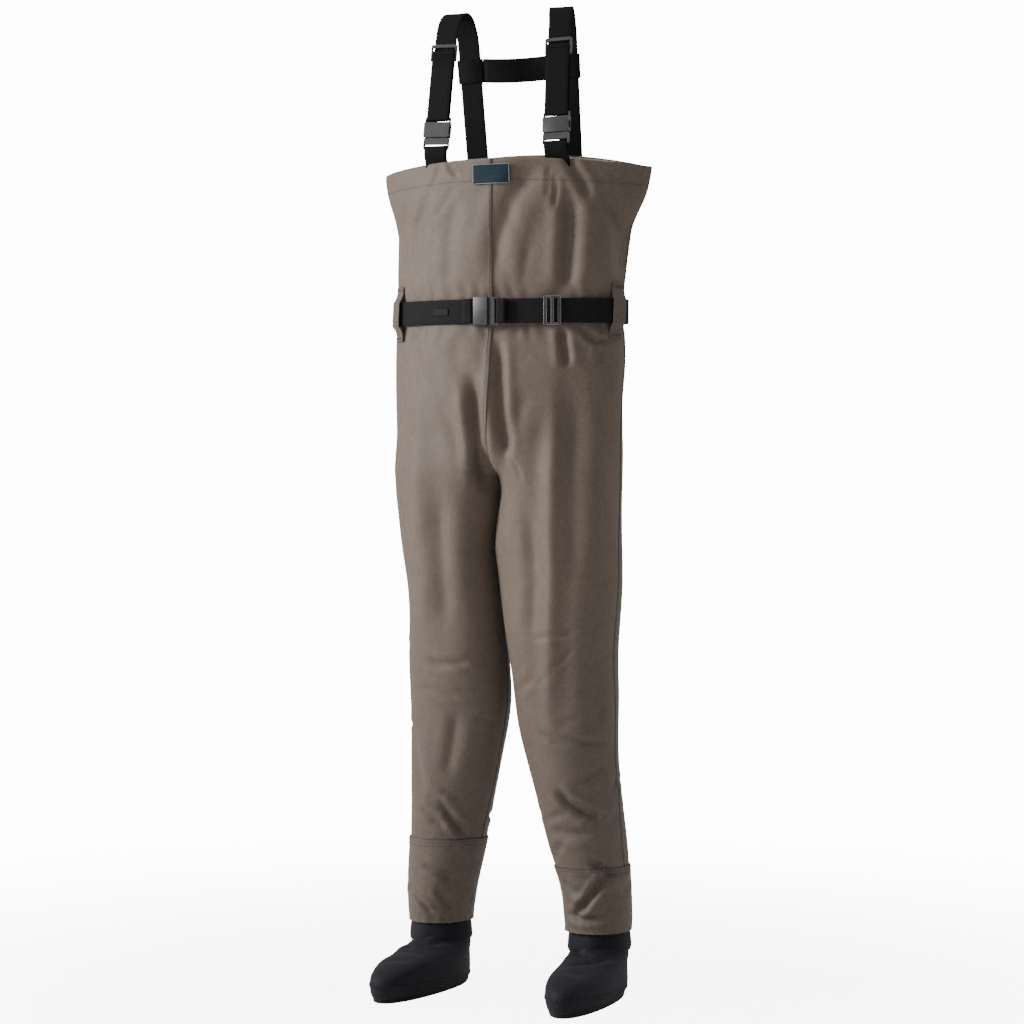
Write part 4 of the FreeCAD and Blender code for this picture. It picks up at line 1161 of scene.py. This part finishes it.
def foot_surface(z, angle, side, lift=0.0):
    """Creased bootie surface about its ankle."""
    z, angle = paired(z, angle)
    around = foot_point(z, angle + 0.01) - foot_point(z, angle - 0.01)
    upward = foot_point(z + 0.0005, angle) - foot_point(z - 0.0005, angle)
    normal = np.cross(around, upward)
    normal /= np.maximum(np.linalg.norm(normal, axis=-1, keepdims=True), 1e-9)
    base = foot_point(z, angle)
    on_top = smooth((z - 0.036) / 0.014)
    flip = SIDES[side]
    depth = np.zeros(z.shape)
    for points, deep, width in INSTEP_CREASES:
        moved = [(x * flip, y) for x, y in points]
        depth += deep * on_top * stroke(base[..., 0], base[..., 1], moved, width)
    depth += 0.0009 * wobble(base, 0.07, 31 + flip) * smooth((z - 0.006) / 0.02)
    return base + normal * (lift - depth)[..., None]


def foot_frame(side):
    """Where a bootie's ankle axis meets the ground, turned to its toe-out."""
    ankle = middle(f"neoprene_cuff_{side}")
    turn = Matrix.Rotation(math.radians(TOE_OUT[side]), 4, "Z")
    return Matrix.Translation((ankle.x + FOOT_ASIDE[side], ankle.y, 0)) @ turn


def placed(points, place):
    """Points carried by a placement."""
    matrix = np.array(place)
    return points @ matrix[:3, :3].T + matrix[:3, 3]


def ring_piece(name, points, look, capped=False):
    """A smooth mesh over rings of points, each ring closed on itself."""
    flat = points.reshape(-1, 3).tolist()
    uvs = [(x, y) for x, y, _ in flat]
    return plain_mesh(name, flat, ring_faces(*points.shape[:2], capped), uvs, look)


def cuff_points(side):
    """The folded cuff in rings: it follows the hem of the gravel guard, with a soft ripple."""
    sign = SIDES[side]
    turn = np.linspace(-1, 3, 161)[None, :-1]
    around = outline(GUARD_HEM, turn + 0.004, sign) - outline(GUARD_HEM, turn - 0.004, sign)
    outward = unit(np.cross(around, UP) * sign)
    heights, inset = np.array(CUFF).T[:, :, None]
    ripple = 0.0008 * np.sin(1.5 * math.pi * turn + 1) + 0.0005 * np.sin(3.5 * math.pi * turn)
    reach = ripple * smooth(heights / 0.01) - inset
    points = outline(GUARD_HEM, turn, sign) + outward * reach[..., None]
    points[..., 2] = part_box(f"neoprene_cuff_{side}")[0].z + heights
    return points


def sole_points(angle):
    """The sole in rings about the ankle, a little wider than the bootie."""
    z, lift = np.array(SOLE).T[:, :, None]
    flat = foot_point(np.full_like(z, 0.0050), angle) * [1, 1, 0]
    outward = np.stack([np.sin(angle), -np.cos(angle), np.zeros_like(angle)], axis=-1)
    return flat + outward * lift[..., None] + np.stack([0 * z, 0 * z, z], axis=-1)


def make_foot(side):
    """Neoprene bootie, its sole and seam, and the folded cuff round the ankle."""
    place = foot_frame(side)
    angle = np.linspace(0, 2 * math.pi, 161)[None, :-1]
    z = np.concatenate([np.linspace(SOLE_TOP, 0.040, 22), np.linspace(0.041, 0.084, 60),
                        np.linspace(0.086, 0.130, 14)])[:, None]
    upper = ring_piece(f"bootie_{side}", placed(foot_surface(z, angle, side), place), NEOPRENE_LOOK)
    shell = upper.modifiers.new("thickness", "SOLIDIFY")
    shell.thickness, shell.offset = 0.004, -1

    sole = ring_piece(f"sole_{side}", placed(sole_points(angle), place), SOLE_LOOK, True)
    line = np.linspace(0.0, 2 * math.pi, 120)
    level = 0.0200 + 0.0070 * np.cos(line)
    rail = placed(foot_surface(level, line, side, 0.0005), place)
    seam = ribbon(f"bootie_seam_{side}", [Vector(p) for p in rail], UP, SOLE_LOOK, 0.0042, 0.0012)

    cuff = ring_piece(f"cuff_{side}", cuff_points(side), NEOPRENE_LOOK)
    body = f"shin_{side}"
    settle(upper, body, "neoprene", f"bootie_upper_{side}")
    settle(sole, body, "neoprene_sole", f"bootie_sole_{side}")
    settle(seam, body, "neoprene")
    settle(cuff, body, "neoprene", f"neoprene_cuff_{side}")


# ---------------------------------------------------------------- stitching

def make_threads(name, body, stitches):
    """Rows of stitches as one piece on a body."""
    settle(stitch_mesh(name, stitches), body, "stitching")


def stitch_mesh(name, stitches, thread=0.00035):
    """Many short threads as one piece: each from a to b, slightly proud of the cloth along out."""
    verts, faces, uvs = [], [], []
    for a, b, out in stitches:
        a, b, out = Vector(a), Vector(b), Vector(out).normalized()
        along = (b - a).normalized()
        side = along.cross(out).normalized()
        start = len(verts)
        for point, grow in ((a, 0.45), (a.lerp(b, 0.2), 1), (a.lerp(b, 0.8), 1), (b, 0.45)):
            rise = out * thread * (0.9 if grow == 1 else 0.1)
            for k in range(6):
                turn = math.pi * k / 3
                verts.append(point + rise + (side * math.cos(turn) + out * math.sin(turn)) * thread * grow)
                uvs.append((0, 0))
        for ring in range(3):
            for k in range(6):
                low, next_low = start + ring * 6 + k, start + ring * 6 + (k + 1) % 6
                faces.append((low, next_low, next_low + 6, low + 6))
        faces.append(tuple(start + k for k in range(6))[::-1])
        faces.append(tuple(start + 18 + k for k in range(6)))
    return plain_mesh(name, verts, faces, uvs, THREAD_LOOK)


def stitch_row(points, normals, length=0.0030, gap=0.0011):
    """Stitches of even length along a line of points."""
    found = []
    start = Vector(points[0])
    for here, out in zip(points[1:], normals[1:]):
        here = Vector(here)
        step = (here - start).length
        if step >= length:
            way = (here - start) / step
            found.append((start, start + way * length, out))
            start = start + way * (length + gap)
    return found


def garment_row(z, turn, sign, lift):
    """A stitch row along a line of the garment."""
    points, normals = surface(z, turn, sign, lift)
    return stitch_row(points, normals)


def make_stitching():
    """Rows of stitches at the rim's hem, both centre seams and the guard tops."""
    turns = np.linspace(0, 2, 2600)
    bib = []
    for sign in SIDES.values():
        bib += garment_row(np.full_like(turns, TOP - HEM_DEEP), turns, sign, 0.0002)
    z = np.linspace(TOP - 0.002, CROTCH_Z + 0.05, 2400)
    for off in (0.0013, 0.0054):
        for end in (0, 1):
            limit = turn_limits(z)[end]
            bib += garment_row(z, limit + off / quarter_length(z) * (1 - 2 * end), 1, 0.0012)
    make_threads("bib_threads", "root", bib)
    turns = np.linspace(-1, 3, 3000)
    for side, sign in SIDES.items():
        rows = garment_row(np.full_like(turns, GUARD_SEAM[side] - 0.0040), turns, sign, 0.0024)
        rows += garment_row(np.full_like(turns, GUARD_SEAM[side] - 0.0100), turns, sign, 0.0024)
        make_threads(f"guard_threads_{side}", f"shin_{side}", rows)


def bar_tack(place_left, place_right, out):
    """A dense zigzag across a loop end."""
    found = []
    for k in range(18):
        near, far = place_left.lerp(place_right, k / 18), place_left.lerp(place_right, (k + 1.6) / 18)
        rise = UP * (0.0009 if k % 2 else -0.0009)
        found.append((near - rise, far + rise, out))
    return found


def make_tacks():
    """Bar tacks at both ends of each belt loop."""
    tacks = []
    for turn, sign in loop_places().values():
        for z, off in ((-LOOP_TALL + 0.005, 0.0026), (LOOP_TALL - 0.005, 0.0046)):
            point, out = off_waist(turn, sign, off, BELT_Z + z)
            across = UP.cross(out).normalized() * 0.0105
            tacks += bar_tack(point - across, point + across, out)
    settle(stitch_mesh("tacks", tacks, 0.00045), "root", "stitching", "bar_tacks")


# ---------------------------------------------------------------- studio

VIEW_TURN = math.radians(23)
CAMERA_DISTANCE, CAMERA_Z, CAMERA_LENS = 4.5, 0.86, 100
AIM_Z, AIM_ASIDE = 0.762, -0.007
WORLD_LIGHT, BACKGROUND = 0.5, 14.0
FLOOR_RADIUS, FADE_START, FADE_END = 30, 0.4, 2.2


def look_from(thing, place, target):
    """Put a light or the camera at a place, facing the target."""
    thing.location = place
    thing.rotation_euler = (target - place).to_track_quat("-Z", "Y").to_euler()


def area_light(name, place, target, size, power):
    """A square soft light that faces the target."""
    lamp = bpy.data.lights.new(name, "AREA")
    lamp.size, lamp.energy = size, power
    look_from(added(name, lamp), place, target)


def make_studio():
    """Camera, soft lights, a pale world and a pale floor."""
    centre = Vector((0, FRONT_SHIFT, 0))
    toward = Vector((math.sin(VIEW_TURN), -math.cos(VIEW_TURN), 0))
    aside = Vector((math.cos(VIEW_TURN), math.sin(VIEW_TURN), 0))
    data = bpy.data.cameras.new("camera")
    data.lens, data.sensor_width = CAMERA_LENS, 36
    camera = added("camera", data)
    look_from(camera, centre + toward * CAMERA_DISTANCE + UP * CAMERA_Z,
              centre + aside * AIM_ASIDE + UP * AIM_Z)
    bpy.context.scene.camera = camera

    chest = centre + UP
    area_light("key", chest + Vector((-2.9, -2.0, 1.0)), chest, 1.1, 210)
    area_light("top", chest + Vector((-0.4, -0.6, 2.6)), chest, 2.0, 30)
    area_light("rim", chest + Vector((2.4, 2.2, 1.4)), chest, 1.6, 20)
    make_world()
    make_floor()


def seen_directly(tree):
    """A socket that is 1 where a surface is seen directly and 0 where it only lights others."""
    return tree.nodes.new("ShaderNodeLightPath").outputs["Is Camera Ray"]


def make_world():
    """A white surround that looks brighter than the light it gives."""
    world = bpy.data.worlds.new("studio")
    world.use_nodes = True
    tree = world.node_tree
    strength = tree.nodes.new("ShaderNodeMapRange")
    strength.inputs["To Min"].default_value = WORLD_LIGHT
    strength.inputs["To Max"].default_value = BACKGROUND
    tree.links.new(seen_directly(tree), strength.inputs["Value"])
    tree.nodes["Background"].inputs["Color"].default_value = (1, 1, 1, 1)
    tree.links.new(strength.outputs["Result"], tree.nodes["Background"].inputs["Strength"])
    bpy.context.scene.world = world


def make_floor():
    """A pale floor that takes soft shadows and fades into the surround."""
    bpy.ops.mesh.primitive_circle_add(vertices=96, radius=FLOOR_RADIUS, fill_type="NGON",
                                      location=(0, 0, -0.0005))
    floor = bpy.context.object
    floor.name = "floor"
    look = Look("floor", srgb(236, 236, 236), srgb(242, 242, 242), roughness=0.9, coords="Object")
    floor.data.materials.append(look.noise(0.8, 1.0).finish())
    tree = look.material.node_tree
    distance = tree.nodes.new("ShaderNodeVectorMath")
    distance.operation = "LENGTH"
    tree.links.new(look.coords, distance.inputs[0])
    fade = eased(tree, distance.outputs["Value"], FADE_START, FADE_END, 0.5, 1.0)
    glow = tree.nodes.new("ShaderNodeEmission")
    glow.inputs["Strength"].default_value = BACKGROUND
    blend = tree.nodes.new("ShaderNodeMixShader")
    share = look.math("MULTIPLY", fade, seen_directly(tree))
    tree.links.new(share, blend.inputs["Fac"])
    tree.links.new(look.shader.outputs["BSDF"], blend.inputs[1])
    tree.links.new(glow.outputs["Emission"], blend.inputs[2])
    tree.links.new(blend.outputs["Shader"], tree.nodes["Material Output"].inputs["Surface"])


make_garment()
make_middle_seams()
make_chest_label()
for side in SIDES:
    make_shoulder(side)
make_cross_strap()
make_belt()
make_belt_label()
make_loops()
for side in SIDES:
    make_foot(side)
make_stitching()
make_tacks()
make_studio()
